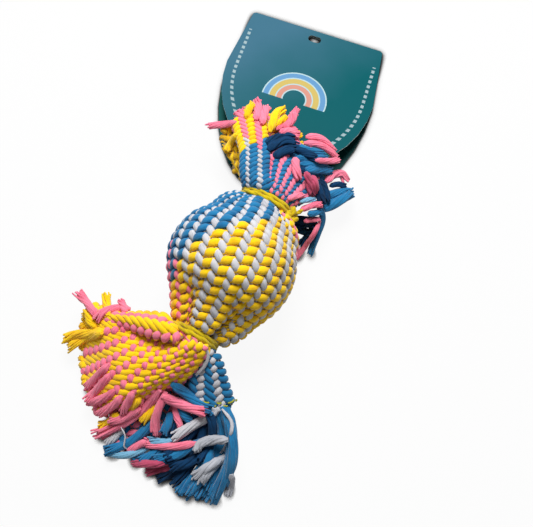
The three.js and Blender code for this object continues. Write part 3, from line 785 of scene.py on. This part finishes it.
def tie(name, knot_angle):
    """The windings of one tie, with its knot at an angle round the neck, from +Y to +Z."""
    end, build = ENDS[name], Build()
    centre = np.array([end["side"] * end["reach"], end["shift"], NECK_HEIGHT])
    around = np.radians(knot_angle) + np.linspace(0, 2 * np.pi * TIE_TURNS, TIE_STEPS)
    x = np.linspace(-TIE_WIDTH / 2, TIE_WIDTH / 2, TIE_STEPS)
    loop = centre + np.column_stack([x, end["tie"][0] * np.cos(around), end["tie"][1] * np.sin(around)])
    cord(build, loop, lambda p: unit((p - centre) * [0, 1, 1]), TIE_CORD)
    away = np.array([0, math.cos(math.radians(knot_angle)), math.sin(math.radians(knot_angle))])
    beside = np.array([1.0, 0, 0])
    third = np.cross(away, beside)
    seat = centre + away * [0, *end["tie"]]
    heart = seat + KNOT_LIFT * away
    t = np.linspace(0, 2 * np.pi, 60)
    knot = heart + KNOT_SIZE * (
        np.outer(np.sin(t) + 2 * np.sin(2 * t), beside)
        + np.outer(np.cos(t) - 2 * np.cos(2 * t), third)
        - np.outer(np.sin(3 * t), away)
    )
    cord(build, knot, away, KNOT_CORD)
    for sign in (-1, 1):
        foot = seat + sign * 2.0 * beside
        knee = foot + 1.8 * away - sign * 0.8 * beside
        cord(build, np.array([foot, knee, heart]), beside + third, LEG_CORD)
        bend = heart + 3.0 * away + sign * 2.5 * beside
        tip = heart + 4.6 * away + 3.0 * sign * beside + 2.0 * end["side"] * beside
        cord(build, curve([heart, bend, tip], 12), third, TIP_CORD)
    piece = build.object(f"{name}_tie_cord")
    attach(piece, "ball")
    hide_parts(f"{name}_tie", f"{name}_tie_knot")


tie("lower", -98)
tie("upper", 166)


# Fringes: each yarn end opens into its plies
class Heap:
    """Heights of what already lies on the toy, looked up by pixel, so that loose yarns rest on it."""

    REACH = 3.0

    def __init__(self, points):
        self.pixels, self.heights = pixel(points), points[:, 2]

    def top(self, where):
        near = np.abs(self.pixels - where).max(1) < self.REACH
        return self.heights[near].max() if near.any() else None

    def add(self, points, thickness):
        self.pixels = np.concatenate([self.pixels, pixel(points)])
        self.heights = np.concatenate([self.heights, points[:, 2] + thickness])


# How far a loose yarn's plies spread and stray at its tip, and how many turns they take
SPREAD, FRAY, PLY_TURNS = 1.2, 0.12, 0.5
LOOSE_PLIES, HEM_PLIES = 14, 7
# How high a loose yarn's first point and the others lie on the heap, and what it adds to it, in its radius
FIRST_LIFT, NEXT_LIFT, HEAP_SHARE = 0.2, 0.7, 0.6
# Short ends at a hem: usual length, most radius, least height, and how far they start inside the hem
HEM, HEM_RADIUS, HEM_LOWEST, HEM_INSET = 8.0, 2.2, 2.2, 1.5
HEM_THICKNESS = 1.2


def tuft(build, path, radius, colour, plies):
    """One loose yarn: its plies twist together and part towards the tip."""
    n = len(path)
    tangent = unit(np.gradient(path, axis=0))
    normal = UP - (tangent @ UP)[:, None] * tangent
    normal = unit(normal + 0.05 * RIGHT)
    across = np.cross(tangent, normal)
    along = np.linspace(0, 1, n)
    for ply in range(plies):
        ring = 0.0 if ply == 0 else rng.uniform(0.5, 0.72)
        angle = 2 * np.pi * ply / (plies - 1) + rng.uniform(-0.3, 0.3) + PLY_TURNS * 2 * np.pi * along
        wide = 1 + (SPREAD - 1 + rng.uniform(0, FRAY)) * along**2
        lean = rng.normal(0, FRAY, 2) * 4
        start = 0.5 + 0.5 * smooth(along, 0, 0.15)
        offset = radius * ring * wide * start
        line = path + across * (offset * np.cos(angle) + lean[0] * along**3 * radius * 0.5)[:, None]
        line = line + normal * (offset * np.sin(angle) * 0.8 + lean[1] * along**3 * radius * 0.3)[:, None]
        stop = n - rng.integers(0, max(2, n // 7))
        thick = radius * 1.5 / math.sqrt(plies) * rng.uniform(0.85, 1.1)
        thick = thick * start[:stop] * (1 - 0.4 * smooth(along[:stop], 0.6, 1.0))
        build.tube(line[:stop], normal[:stop], thick, thick, STRAND_SIDES, YARN[colour])


def cloth_points(where):
    grids = [cloth.flat.reshape(-1, 3) for name, cloth in cloths.items() if name.startswith(where)]
    return np.concatenate(grids)


fringe = {where: {colour: Build() for colour in YARN} for where in ENDS}
heap = {where: Heap(cloth_points(where)) for where in ENDS}


def loose(where, colour, radius, points):
    """A loose yarn through pixels and heights; it never sinks into what lies below it."""
    placed = []
    for k, (x, y, z) in enumerate(points):
        top = heap[where].top((x, y))
        if top is not None:
            z = max(z, top + (FIRST_LIFT if k == 0 else NEXT_LIFT) * radius)
        placed.append(at(x, y, max(z, radius)))
    path = curve(placed, 8 + 5 * len(points))
    tuft(fringe[where][colour], path, radius, colour, LOOSE_PLIES)
    heap[where].add(path, HEAP_SHARE * radius)


def hem_ends(name):
    """Short ends of the yarns that stop at a panel's hem."""
    where, cloth = name.split("_")[0], cloths[name]
    for point, direction, half_width, colour, u, s in yarn_ends[name]:
        _, _, length = cloth.place(np.array([u]))
        if s * cloth.bump < length[0] - HEM_INSET or not 0 <= u / cloth.columns <= 1:
            continue
        reach = rng.uniform(0.6, 1.2) * PANELS[name].get("hem", HEM)
        away = unit(direction + 0.25 * rng.normal(size=3) * [1, 1, 0.3])
        hang = rng.uniform(0.5, 2.5) * UP
        path = np.array([point - away * HEM_INSET, point + away * reach * 0.5, point + away * reach - hang])
        path[:, 2] = np.maximum(path[:, 2], HEM_LOWEST)
        path = curve(path, 12)
        tuft(fringe[where][colour], path, min(half_width, HEM_RADIUS), colour, HEM_PLIES)
        heap[where].add(path, HEM_THICKNESS)


for name in PANELS:
    hem_ends(name)

# Loose yarns, from the lowest to the highest: colour, radius, and pixel x, pixel y and height along each
LOWER_YARNS = [
    ("navy", 2.7, [(200, 416, 5), (197, 440, 4), (190, 458, 3)]),
    ("navy", 2.7, [(207, 416, 5), (206, 446, 4), (200, 468, 3)]),
    ("blue", 2.5, [(176, 436, 5), (156, 452, 4), (138, 462, 3)]),
    ("blue", 2.5, [(188, 430, 5), (170, 452, 4), (152, 468, 3)]),
    ("blue", 2.7, [(224, 409, 12), (226, 440, 9), (218, 472, 6), (196, 500, 3)]),
    ("blue", 2.7, [(225, 409, 12), (231, 446, 8), (226, 474, 5), (219, 490, 3)]),
    ("blue", 2.6, [(210, 410, 13), (214, 440, 9), (206, 470, 6), (184, 498, 3)]),
    ("navy", 2.6, [(204, 420, 10), (200, 446, 8), (186, 470, 5), (170, 484, 3)]),
    ("blue", 2.6, [(218, 430, 9), (214, 462, 6), (204, 484, 4), (195, 497, 3)]),
    ("navy", 2.6, [(190, 420, 10), (182, 440, 8), (164, 458, 5), (148, 466, 3)]),
    # Painted shade: the two rose strands are pink strands that lie in shadow
    ("rose", 2.2, [(172, 460, 5), (155, 464, 4), (132, 463, 3)]),
    ("rose", 2.2, [(174, 466, 5), (162, 469, 4), (145, 472, 3)]),
    ("navy", 2.4, [(198, 455, 6), (178, 470, 4), (157, 479, 3)]),
    ("navy", 2.6, [(198, 450, 8), (182, 457, 6), (164, 460, 4)]),
    ("navy", 2.6, [(202, 456, 7), (188, 463, 6), (170, 468, 4)]),
    ("blue", 2.4, [(200, 440, 8), (178, 455, 6), (152, 459, 4)]),
    ("blue", 2.5, [(208, 460, 6), (192, 478, 4), (177, 494, 3)]),
    ("blue", 2.5, [(212, 450, 7), (203, 474, 5), (188, 496, 3)]),
    ("blue", 2.7, [(222, 407, 12), (230, 436, 9), (226, 470, 6), (207, 502, 3)]),
    ("blue", 2.7, [(224, 408, 12), (231, 440, 9), (226, 472, 5), (211, 502, 3)]),
    ("blue", 2.6, [(228, 408, 11), (233, 436, 8), (232, 462, 5), (225, 484, 3)]),
    ("blue", 2.6, [(216, 408, 13), (222, 430, 10), (218, 462, 7), (205, 490, 4)]),
    ("navy", 2.6, [(206, 408, 13), (212, 424, 11), (210, 446, 9), (198, 462, 7)]),
    ("navy", 2.6, [(196, 405, 13), (196, 424, 11), (186, 440, 9)]),
    ("navy", 2.4, [(182, 400, 12), (178, 420, 10), (168, 436, 8)]),
    ("pale", 2.0, [(148, 448, 6), (126, 455, 4), (106, 453, 3)]),
    ("blue", 2.6, [(158, 416, 12), (143, 432, 9), (124, 445, 6), (104, 451, 4)]),
    ("white", 2.2, [(124, 428, 8), (114, 438, 6), (106, 443, 4)]),
    ("pale", 1.8, [(178, 440, 10), (162, 442, 10), (147, 440, 9)]),
    ("blue", 2.4, [(172, 412, 13), (168, 424, 12), (163, 434, 11)]),
    ("pink", 2.2, [(196, 443, 10), (178, 446, 10), (157, 446, 9), (143, 443, 8)]),
    ("pink", 2.1, [(146, 441, 9), (137, 446, 8), (128, 450, 6)]),
    ("yellow", 2.5, [(118, 414, 11), (108, 423, 9), (98, 426, 7)]),
    ("yellow", 2.6, [(160, 402, 17), (152, 411, 15), (141, 421, 12)]),
    ("yellow", 2.4, [(140, 398, 17), (134, 405, 15), (128, 411, 13)]),
    ("pink", 2.2, [(133, 392, 19), (128, 402, 16), (122, 413, 13)]),
    ("pink", 2.6, [(160, 390, 20), (148, 404, 17), (130, 419, 13), (110, 429, 9), (92, 435, 6)]),
    ("pink", 2.3, [(122, 396, 17), (112, 406, 14), (97, 415, 9)]),
    ("pink", 2.3, [(140, 408, 17), (124, 418, 14), (108, 420, 10)]),
    ("pink", 2.3, [(116, 390, 17), (104, 398, 14), (87, 404, 9)]),
    ("pink", 2.4, [(112, 374, 20), (103, 383, 17), (94, 393, 13), (85, 401, 9)]),
    ("pink", 2.4, [(110, 364, 21), (102, 371, 18), (93, 381, 14), (85, 389, 10)]),
    ("pink", 2.3, [(166, 392, 20), (159, 408, 16), (155, 421, 13), (154, 435, 11)]),
    ("pink", 1.9, [(176, 404, 15), (176, 414, 14), (181, 428, 12)]),
    ("blue", 2.5, [(180, 404, 15), (184, 414, 14), (191, 421, 13)]),
    ("blue", 2.8, [(172, 384, 22), (186, 394, 20), (203, 407, 17), (212, 411, 15)]),
    ("pink", 2.9, [(162, 396, 20), (176, 402, 19), (192, 408, 18), (207, 414, 16)]),
    ("white", 1.0, [(222, 409, 14), (231, 421, 12), (231, 433, 11), (226, 447, 10), (220, 456, 10)]),
    ("grey", 2.6, [(225, 456, 11), (214, 466, 11), (206, 475, 10), (201, 484, 9)]),
    ("grey", 2.4, [(221, 459, 11), (208, 467, 11), (199, 474, 10), (192, 477, 9)]),
    ("grey", 2.6, [(228, 440, 13), (213, 440, 13), (200, 444, 12), (196, 453, 10)]),
    ("white", 2.6, [(219, 409, 16), (206, 418, 15), (190, 427, 14), (172, 439, 12)]),
    ("grey", 2.0, [(231, 474, 8), (231, 485, 6), (226, 496, 4)]),
    ("white", 0.4, [(121, 427, 14), (125, 436, 13), (124, 446, 10), (127, 449, 8)]),
    ("white", 0.9, [(199, 343, 41), (206, 349, 39), (208, 357, 36), (204, 367, 32), (196, 375, 28)]),
    ("yellow", 2.7, [(104, 331, 20), (90, 333, 17), (75, 335, 14), (62, 341, 11)]),
    ("yellow", 2.4, [(102, 333, 19), (88, 338, 16), (76, 343, 13), (66, 348, 10)]),
    ("yellow", 2.5, [(97, 328, 18), (90, 320, 18), (88, 309, 18)]),
    ("pink", 2.2, [(97, 318, 18), (90, 307, 19), (83, 298, 19), (76, 290, 19)]),
    ("yellow", 2.2, [(108, 316, 22), (107, 305, 22), (106, 293, 21)]),
    ("pink", 2.3, [(130, 309, 26), (116, 308, 25), (104, 312, 22), (95, 321, 19)]),
    ("pink", 2.1, [(126, 312, 27), (122, 304, 26), (120, 300, 25)]),
]
UPPER_YARNS = [
    ("blue", 1.9, [(322, 208, 22), (322, 222, 14), (315, 241, 7), (309, 256, 3)]),
    ("navy", 2.4, [(316, 222, 15), (309, 236, 8), (299, 245, 4)]),
    # Painted shadow: the next two navy strands fill the dark hollow under the knot, beside the ball, where
    # there is only shadow
    ("navy", 2.6, [(289, 219, 15), (303, 220, 15), (317, 221, 15)]),
    ("navy", 2.2, [(294, 226, 11), (304, 225, 11), (315, 224, 12)]),
    ("navy", 2.4, [(290, 226, 8), (303, 231, 8), (314, 234, 7)]),
    ("pink", 1.6, [(320, 221, 19), (313, 235, 11), (305, 246, 6), (296, 259, 3)]),
    ("blue", 2.6, [(314, 203, 22), (327, 202, 17), (341, 196, 14), (354, 190, 11)]),
    ("blue", 2.6, [(318, 209, 20), (328, 207, 17), (341, 200, 13), (352, 193, 10)]),
    ("blue", 2.5, [(316, 197, 23), (328, 195, 19), (340, 192, 15), (350, 190, 12)]),
    ("navy", 2.6, [(314, 178, 26), (319, 190, 24), (322, 206, 20)]),
    ("navy", 2.5, [(320, 180, 24), (325, 190, 21), (326, 202, 18)]),
    ("navy", 1.8, [(330, 186, 19), (338, 184, 17), (346, 187, 14)]),
    ("pink", 2.4, [(326, 182, 22), (333, 175, 20), (342, 174, 18), (346, 182, 15)]),
    ("navy", 2.5, [(300, 168, 31), (308, 174, 29), (314, 186, 26)]),
    ("blue", 2.7, [(306, 170, 31), (318, 170, 27), (332, 171, 22)]),
    ("blue", 2.4, [(300, 164, 33), (314, 165, 29), (326, 167, 25)]),
    ("blue", 2.5, [(296, 158, 34), (309, 158, 31), (326, 158, 27)]),
    ("pink", 2.3, [(306, 137, 30), (316, 137, 29), (326, 142, 27), (334, 152, 23)]),
    ("pink", 2.2, [(304, 143, 31), (316, 144, 30), (327, 149, 27), (338, 159, 22)]),
    ("blue", 2.0, [(298, 146, 33), (310, 150, 31), (324, 154, 27)]),
    ("navy", 2.4, [(292, 148, 35), (304, 152, 33), (316, 158, 29)]),
    ("navy", 2.6, [(268, 150, 40), (276, 144, 39), (286, 141, 37), (298, 146, 34)]),
    ("navy", 2.6, [(274, 157, 40), (284, 151, 39), (295, 151, 36)]),
    ("navy", 2.5, [(266, 143, 40), (275, 138, 38), (285, 136, 36), (296, 140, 34)]),
    ("pink", 1.9, [(316, 160, 32), (328, 161, 28), (340, 160, 23)]),
    # Painted shade: the two rose strands are pink strands that lie in shadow
    ("rose", 2.2, [(306, 172, 30), (309, 182, 29), (311, 193, 26)]),
    ("rose", 2.2, [(312, 176, 29), (315, 184, 28), (314, 193, 26)]),
    ("pink", 2.5, [(295, 158, 38), (296, 168, 38), (298, 180, 36)]),
    ("pink", 1.8, [(288, 199, 38), (296, 196, 36), (304, 195, 32)]),
    ("pale", 1.6, [(300, 202, 32), (308, 200, 30), (316, 200, 26)]),
    ("pink", 1.9, [(301, 210, 30), (311, 206, 28), (322, 204, 24)]),
    ("blue", 1.9, [(308, 214, 27), (315, 213, 25), (322, 212, 22)]),
    ("pink", 1.5, [(304, 221, 22), (312, 220, 22), (320, 219, 21)]),
    ("pink", 2.1, [(276, 129, 34), (285, 127, 33), (297, 131, 31)]),
    ("pink", 2.3, [(288, 122, 32), (293, 115, 31), (297, 109, 30)]),
    ("pink", 2.3, [(280, 133, 34), (289, 131, 33), (299, 136, 31)]),
    ("pink", 2.3, [(284, 128, 33), (291, 121, 33), (294, 113, 31)]),
    ("yellow", 2.2, [(272, 126, 35), (280, 122, 34), (287, 117, 32)]),
    ("yellow", 2.4, [(270, 132, 37), (273, 121, 36), (277, 113, 34), (285, 109, 32)]),
    ("pink", 2.3, [(262, 124, 37), (264, 115, 35), (267, 106, 33)]),
    ("pink", 2.4, [(256, 120, 37), (258, 110, 35), (257, 99, 33)]),
    ("yellow", 2.2, [(246, 118, 35), (249, 110, 34), (253, 103, 33)]),
    ("yellow", 2.2, [(237, 134, 31), (231, 143, 28), (227, 151, 26)]),
    ("pink", 2.2, [(236, 122, 33), (227, 124, 30), (216, 125, 28), (206, 126, 26)]),
]
for colour, radius, points in LOWER_YARNS:
    loose("lower", colour, radius, points)
for colour, radius, points in UPPER_YARNS:
    loose("upper", colour, radius, points)
TAIL_NODES = [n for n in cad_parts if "_tail_" in n]
for where, carrier in (("lower", "lower_left"), ("upper", "upper_tongue")):
    for colour, build in fringe[where].items():
        if not build.count:
            continue
        piece = build.object(f"{where}_fringe_{colour}")
        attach(piece, f"{where}_fan")
        stood_for = [n for n in TAIL_NODES if n.startswith(where) and n.endswith(colour)]
        if stood_for:
            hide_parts(*stood_for)
        sheets[carrier][2].append(piece)

# Stitches across the hem of the blue and white panel, placed in columns and as a share of the panel's length
STITCHES, STITCH_START, STITCH_PITCH, STITCH_LENGTH = 9, 0.35, 0.28, 0.2
STITCH_ROW, STITCH_ZIGZAG = 0.93, 0.2
STITCH_LIFT, STITCH_ARCH, STITCH_SIZE = 2.3, 0.5, (0.55, 0.45)


def sew_hem(cloth):
    build = Build()
    for k in range(STITCHES):
        start = STITCH_START + STITCH_PITCH * k
        u = np.linspace(start, start + STITCH_LENGTH, 5)
        _, _, lengths = cloth.place(u)
        p, n, _, _ = surface_frame(cloth, u, STITCH_ROW * lengths / cloth.bump + STITCH_ZIGZAG * (-1) ** k)
        n = n * np.sign(n[:, 2:3])
        rise = STITCH_LIFT + STITCH_ARCH * np.sin(np.linspace(0, np.pi, 5))
        build.tube(p + n * rise[:, None], n, *STITCH_SIZE, STRAND_SIDES, LIME)
    return build.object("lower_hem_stitches")


stitch_line = sew_hem(cloths["lower_right"])
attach(stitch_line, "lower_fan")
sheets["lower_right"][2].append(stitch_line)

# Header card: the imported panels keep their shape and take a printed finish
CARD_FOLD = (183.02, 35.0, 0.95)
CARD_TURN = math.radians(8)
# The front's rim is straight to the flare and then round; half its width, and its lean to the right
CARD_FLARE, CARD_ROUND, CARD_HALF, CARD_LEAN = 45.0, 62.0, 51.0, 0.05
CARD_PAPER = (0.72, 0.78, 0.77)
FOLD_HALF, FOLD_RADIUS = 45, 0.95

# The front's print, from the fold: a dotted border, at shares of the way to the rim, and rings cut to arcs
BORDER_RIM, BORDER_REACH, BORDER_TINT = (0.845, 0.885), (-84.0, -14.0), (0.56, 0.64, 0.66)
DOTS_PER_MM, DOT_GAP = 0.24, 0.45
ARC_CENTRE, ARC_FOOT = (-58.0, -3.0), -2.0
ARCS = [
    (7.4, 21.6, (0.64, 0.74, 0.76)),
    (8.3, 11.7, (0.74, 0.52, 0.46)),
    (12.6, 16.4, (0.72, 0.64, 0.36)),
    (17.3, 20.7, (0.36, 0.54, 0.70)),
]


def print_card(nodes, x, y, colour):
    """Lays the dotted border and the arcs over the card's colour."""
    do = nodes.number

    def band(value, low, high):
        return do("MULTIPLY", do("GREATER_THAN", value, low), do("LESS_THAN", value, high))

    def distance(a, b):
        return do("SQRT", do("ADD", do("MULTIPLY", a, a), do("MULTIPLY", b, b)))

    past = do("MAXIMUM", do("SUBTRACT", do("MULTIPLY", x, -1.0), CARD_FLARE), 0.0)
    across = do("SUBTRACT", y, do("MULTIPLY", x, CARD_LEAN))
    rim = distance(do("DIVIDE", past, CARD_ROUND), do("DIVIDE", across, CARD_HALF))
    dots = do("GREATER_THAN", do("FRACT", do("MULTIPLY", x, DOTS_PER_MM)), DOT_GAP)
    sides = do("MULTIPLY", band(x, *BORDER_REACH), dots)
    colour = nodes.paint(colour, BORDER_TINT, do("MULTIPLY", band(rim, *BORDER_RIM), sides))
    rise, aside = do("SUBTRACT", x, ARC_CENTRE[0]), do("SUBTRACT", y, ARC_CENTRE[1])
    ring, above = distance(rise, aside), do("GREATER_THAN", rise, ARC_FOOT)
    for low, high, tint in ARCS:
        colour = nodes.paint(colour, tint, do("MULTIPLY", band(ring, low, high), above))
    return colour


def card_material(name, light, deep, printed):
    """Coated card: a slow change of tone, a paper-coloured edge and, on the front, the print."""
    mat, nodes, shader = principled(name, 0.45, specular=0.04)
    place = nodes.add("ShaderNodeTexCoord")
    local = nodes.add("ShaderNodeMapping", {"Vector": place.outputs["Object"]})
    local.vector_type = "TEXTURE"
    fold = [c * MM for c in CARD_FOLD]
    nodes.set(local, {"Location": fold, "Rotation": (0, 0, CARD_TURN), "Scale": (MM, MM, MM)})
    x, y, _ = nodes.add("ShaderNodeSeparateXYZ", {0: local.outputs["Vector"]}).outputs
    slant = nodes.number("ADD", nodes.number("MULTIPLY", x, -0.0062), nodes.number("MULTIPLY", y, -0.0085))
    cloud = nodes.noise(local.outputs["Vector"], scale=0.03)
    tone = nodes.number("ADD", slant, nodes.number("MULTIPLY", cloud, 0.35))
    colour = nodes.ramp(tone, (0.0, light), (0.66, deep))
    if printed:
        colour = print_card(nodes, x, y, colour)
    facing = nodes.add("ShaderNodeSeparateXYZ", {0: place.outputs["Normal"]})
    edge = nodes.number("LESS_THAN", nodes.number("ABSOLUTE", facing.outputs[2]), 0.6)
    nodes.set(shader, {"Base Color": nodes.paint(colour, CARD_PAPER, edge)})
    return mat


def finish_node(name, material):
    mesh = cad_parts[name].data
    mesh.materials.clear()
    mesh.materials.append(material)


CARD_FRONT = card_material("card_front", (0.22, 0.39, 0.47), (0.0, 0.32, 0.345), True)
CARD_BACK = card_material("card_back", (0.02, 0.36, 0.34), (0.0, 0.22, 0.22), False)
finish_node("card_front", CARD_FRONT)
finish_node("card_back", CARD_BACK)
finish_node("tag_pin", plain_material("nylon", (0.92, 0.94, 0.95), (0.84, 0.87, 0.89), 0.25, 300, 3))
finish_node("core_ball", plain_material("rubber", (0.20, 0.58, 0.44), (0.14, 0.48, 0.36), 0.7, 400, 3))
spine = Build()
sideways = np.array([-math.sin(CARD_TURN), math.cos(CARD_TURN), 0])
fold_line = np.array(CARD_FOLD) + np.linspace(-FOLD_HALF, FOLD_HALF, 30)[:, None] * sideways
spine.tube(fold_line, UP, FOLD_RADIUS, FOLD_RADIUS, 12, CARD_FRONT)
fold = spine.object("card_fold")
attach(fold, "header_front")

# Camera, as fitted to the photograph
SENSOR = 36
camera = bpy.data.cameras.new("camera")
camera.sensor_fit = "HORIZONTAL"
camera.sensor_width = SENSOR
camera.lens = FOCUS * SENSOR / WIDTH
eye = link("camera", camera)
eye.location = EYE * MM
eye.rotation_euler = Matrix((RIGHT, ABOVE, -FORWARD)).transposed().to_euler()
bpy.context.scene.camera = eye

# Floor, light and background, in metres
FLOOR_HALF = 3.0
FLOOR_COLOUR, FLOOR_GLOW = 0.66, 0.93
# Painted contact shade: how near a thing has to be to darken the floor's colour under it, and how strongly it
# does
CONTACT_SHADE_REACH, CONTACT_SHADE_POWER = 0.004, 8.0
SKY_LIGHT, SKY_SEEN = 0.21, 1.0
KEY_PLACE, KEY_AIM, KEY_SIZE, KEY_WATTS = np.array([0.39, 0.17, 0.74]), np.array([0, 0, 0.03]), 0.45, 9.6


def floor_material():
    """White to the camera, with the toy's shadow; close under the toy an occlusion term paints contact shade,
    darkening the floor's colour and letting less of its white glow show.
    """
    mat = bpy.data.materials.new("floor")
    mat.use_nodes = True
    mat.node_tree.nodes.clear()
    nodes = Nodes(mat.node_tree)
    open_sky = nodes.add("ShaderNodeAmbientOcclusion", {"Distance": CONTACT_SHADE_REACH})
    unshaded = nodes.number("POWER", open_sky.outputs["AO"], CONTACT_SHADE_POWER)
    diffuse = nodes.add("ShaderNodeBsdfDiffuse", {"Color": nodes.number("MULTIPLY", unshaded, FLOOR_COLOUR)})
    glow = nodes.add("ShaderNodeEmission", {"Color": WHITE})
    seen = nodes.add("ShaderNodeLightPath").outputs["Is Camera Ray"]
    share = nodes.number("MULTIPLY", nodes.number("MULTIPLY", seen, FLOOR_GLOW), unshaded)
    mixed = nodes.add("ShaderNodeMixShader", {0: share, 1: diffuse.outputs[0], 2: glow.outputs[0]})
    nodes.add("ShaderNodeOutputMaterial", {0: mixed.outputs[0]})
    return mat


def studio_world():
    """Soft light from all round, which the camera sees as white."""
    world = bpy.data.worlds.new("studio")
    world.use_nodes = True
    nodes = Nodes(world.node_tree)
    seen = nodes.add("ShaderNodeLightPath").outputs["Is Camera Ray"]
    strength = nodes.add("ShaderNodeMapRange", {"Value": seen, "To Min": SKY_LIGHT, "To Max": SKY_SEEN})
    sky = world.node_tree.nodes["Background"]
    nodes.set(sky, {"Color": WHITE, "Strength": strength.outputs["Result"]})
    return world


def key_light():
    """A round soft light above the card's left side."""
    lamp = bpy.data.lights.new("key", "AREA")
    lamp.shape = "DISK"
    lamp.size = KEY_SIZE
    lamp.energy = KEY_WATTS
    obj = link("key", lamp)
    obj.location = KEY_PLACE
    z = unit(KEY_PLACE - KEY_AIM)
    x = unit(np.cross(UP, z))
    obj.rotation_euler = Matrix((x, np.cross(z, x), z)).transposed().to_euler()


floor_mesh = bpy.data.meshes.new("floor")
floor_corners = [(x * FLOOR_HALF, y * FLOOR_HALF, 0) for x, y in ((-1, -1), (1, -1), (1, 1), (-1, 1))]
floor_mesh.from_pydata(floor_corners, [], [(0, 1, 2, 3)])
floor_mesh.materials.append(floor_material())
floor = link("floor", floor_mesh)
bpy.context.scene.world = studio_world()
key_light()
bpy.context.scene.view_settings.view_transform = "Standard"
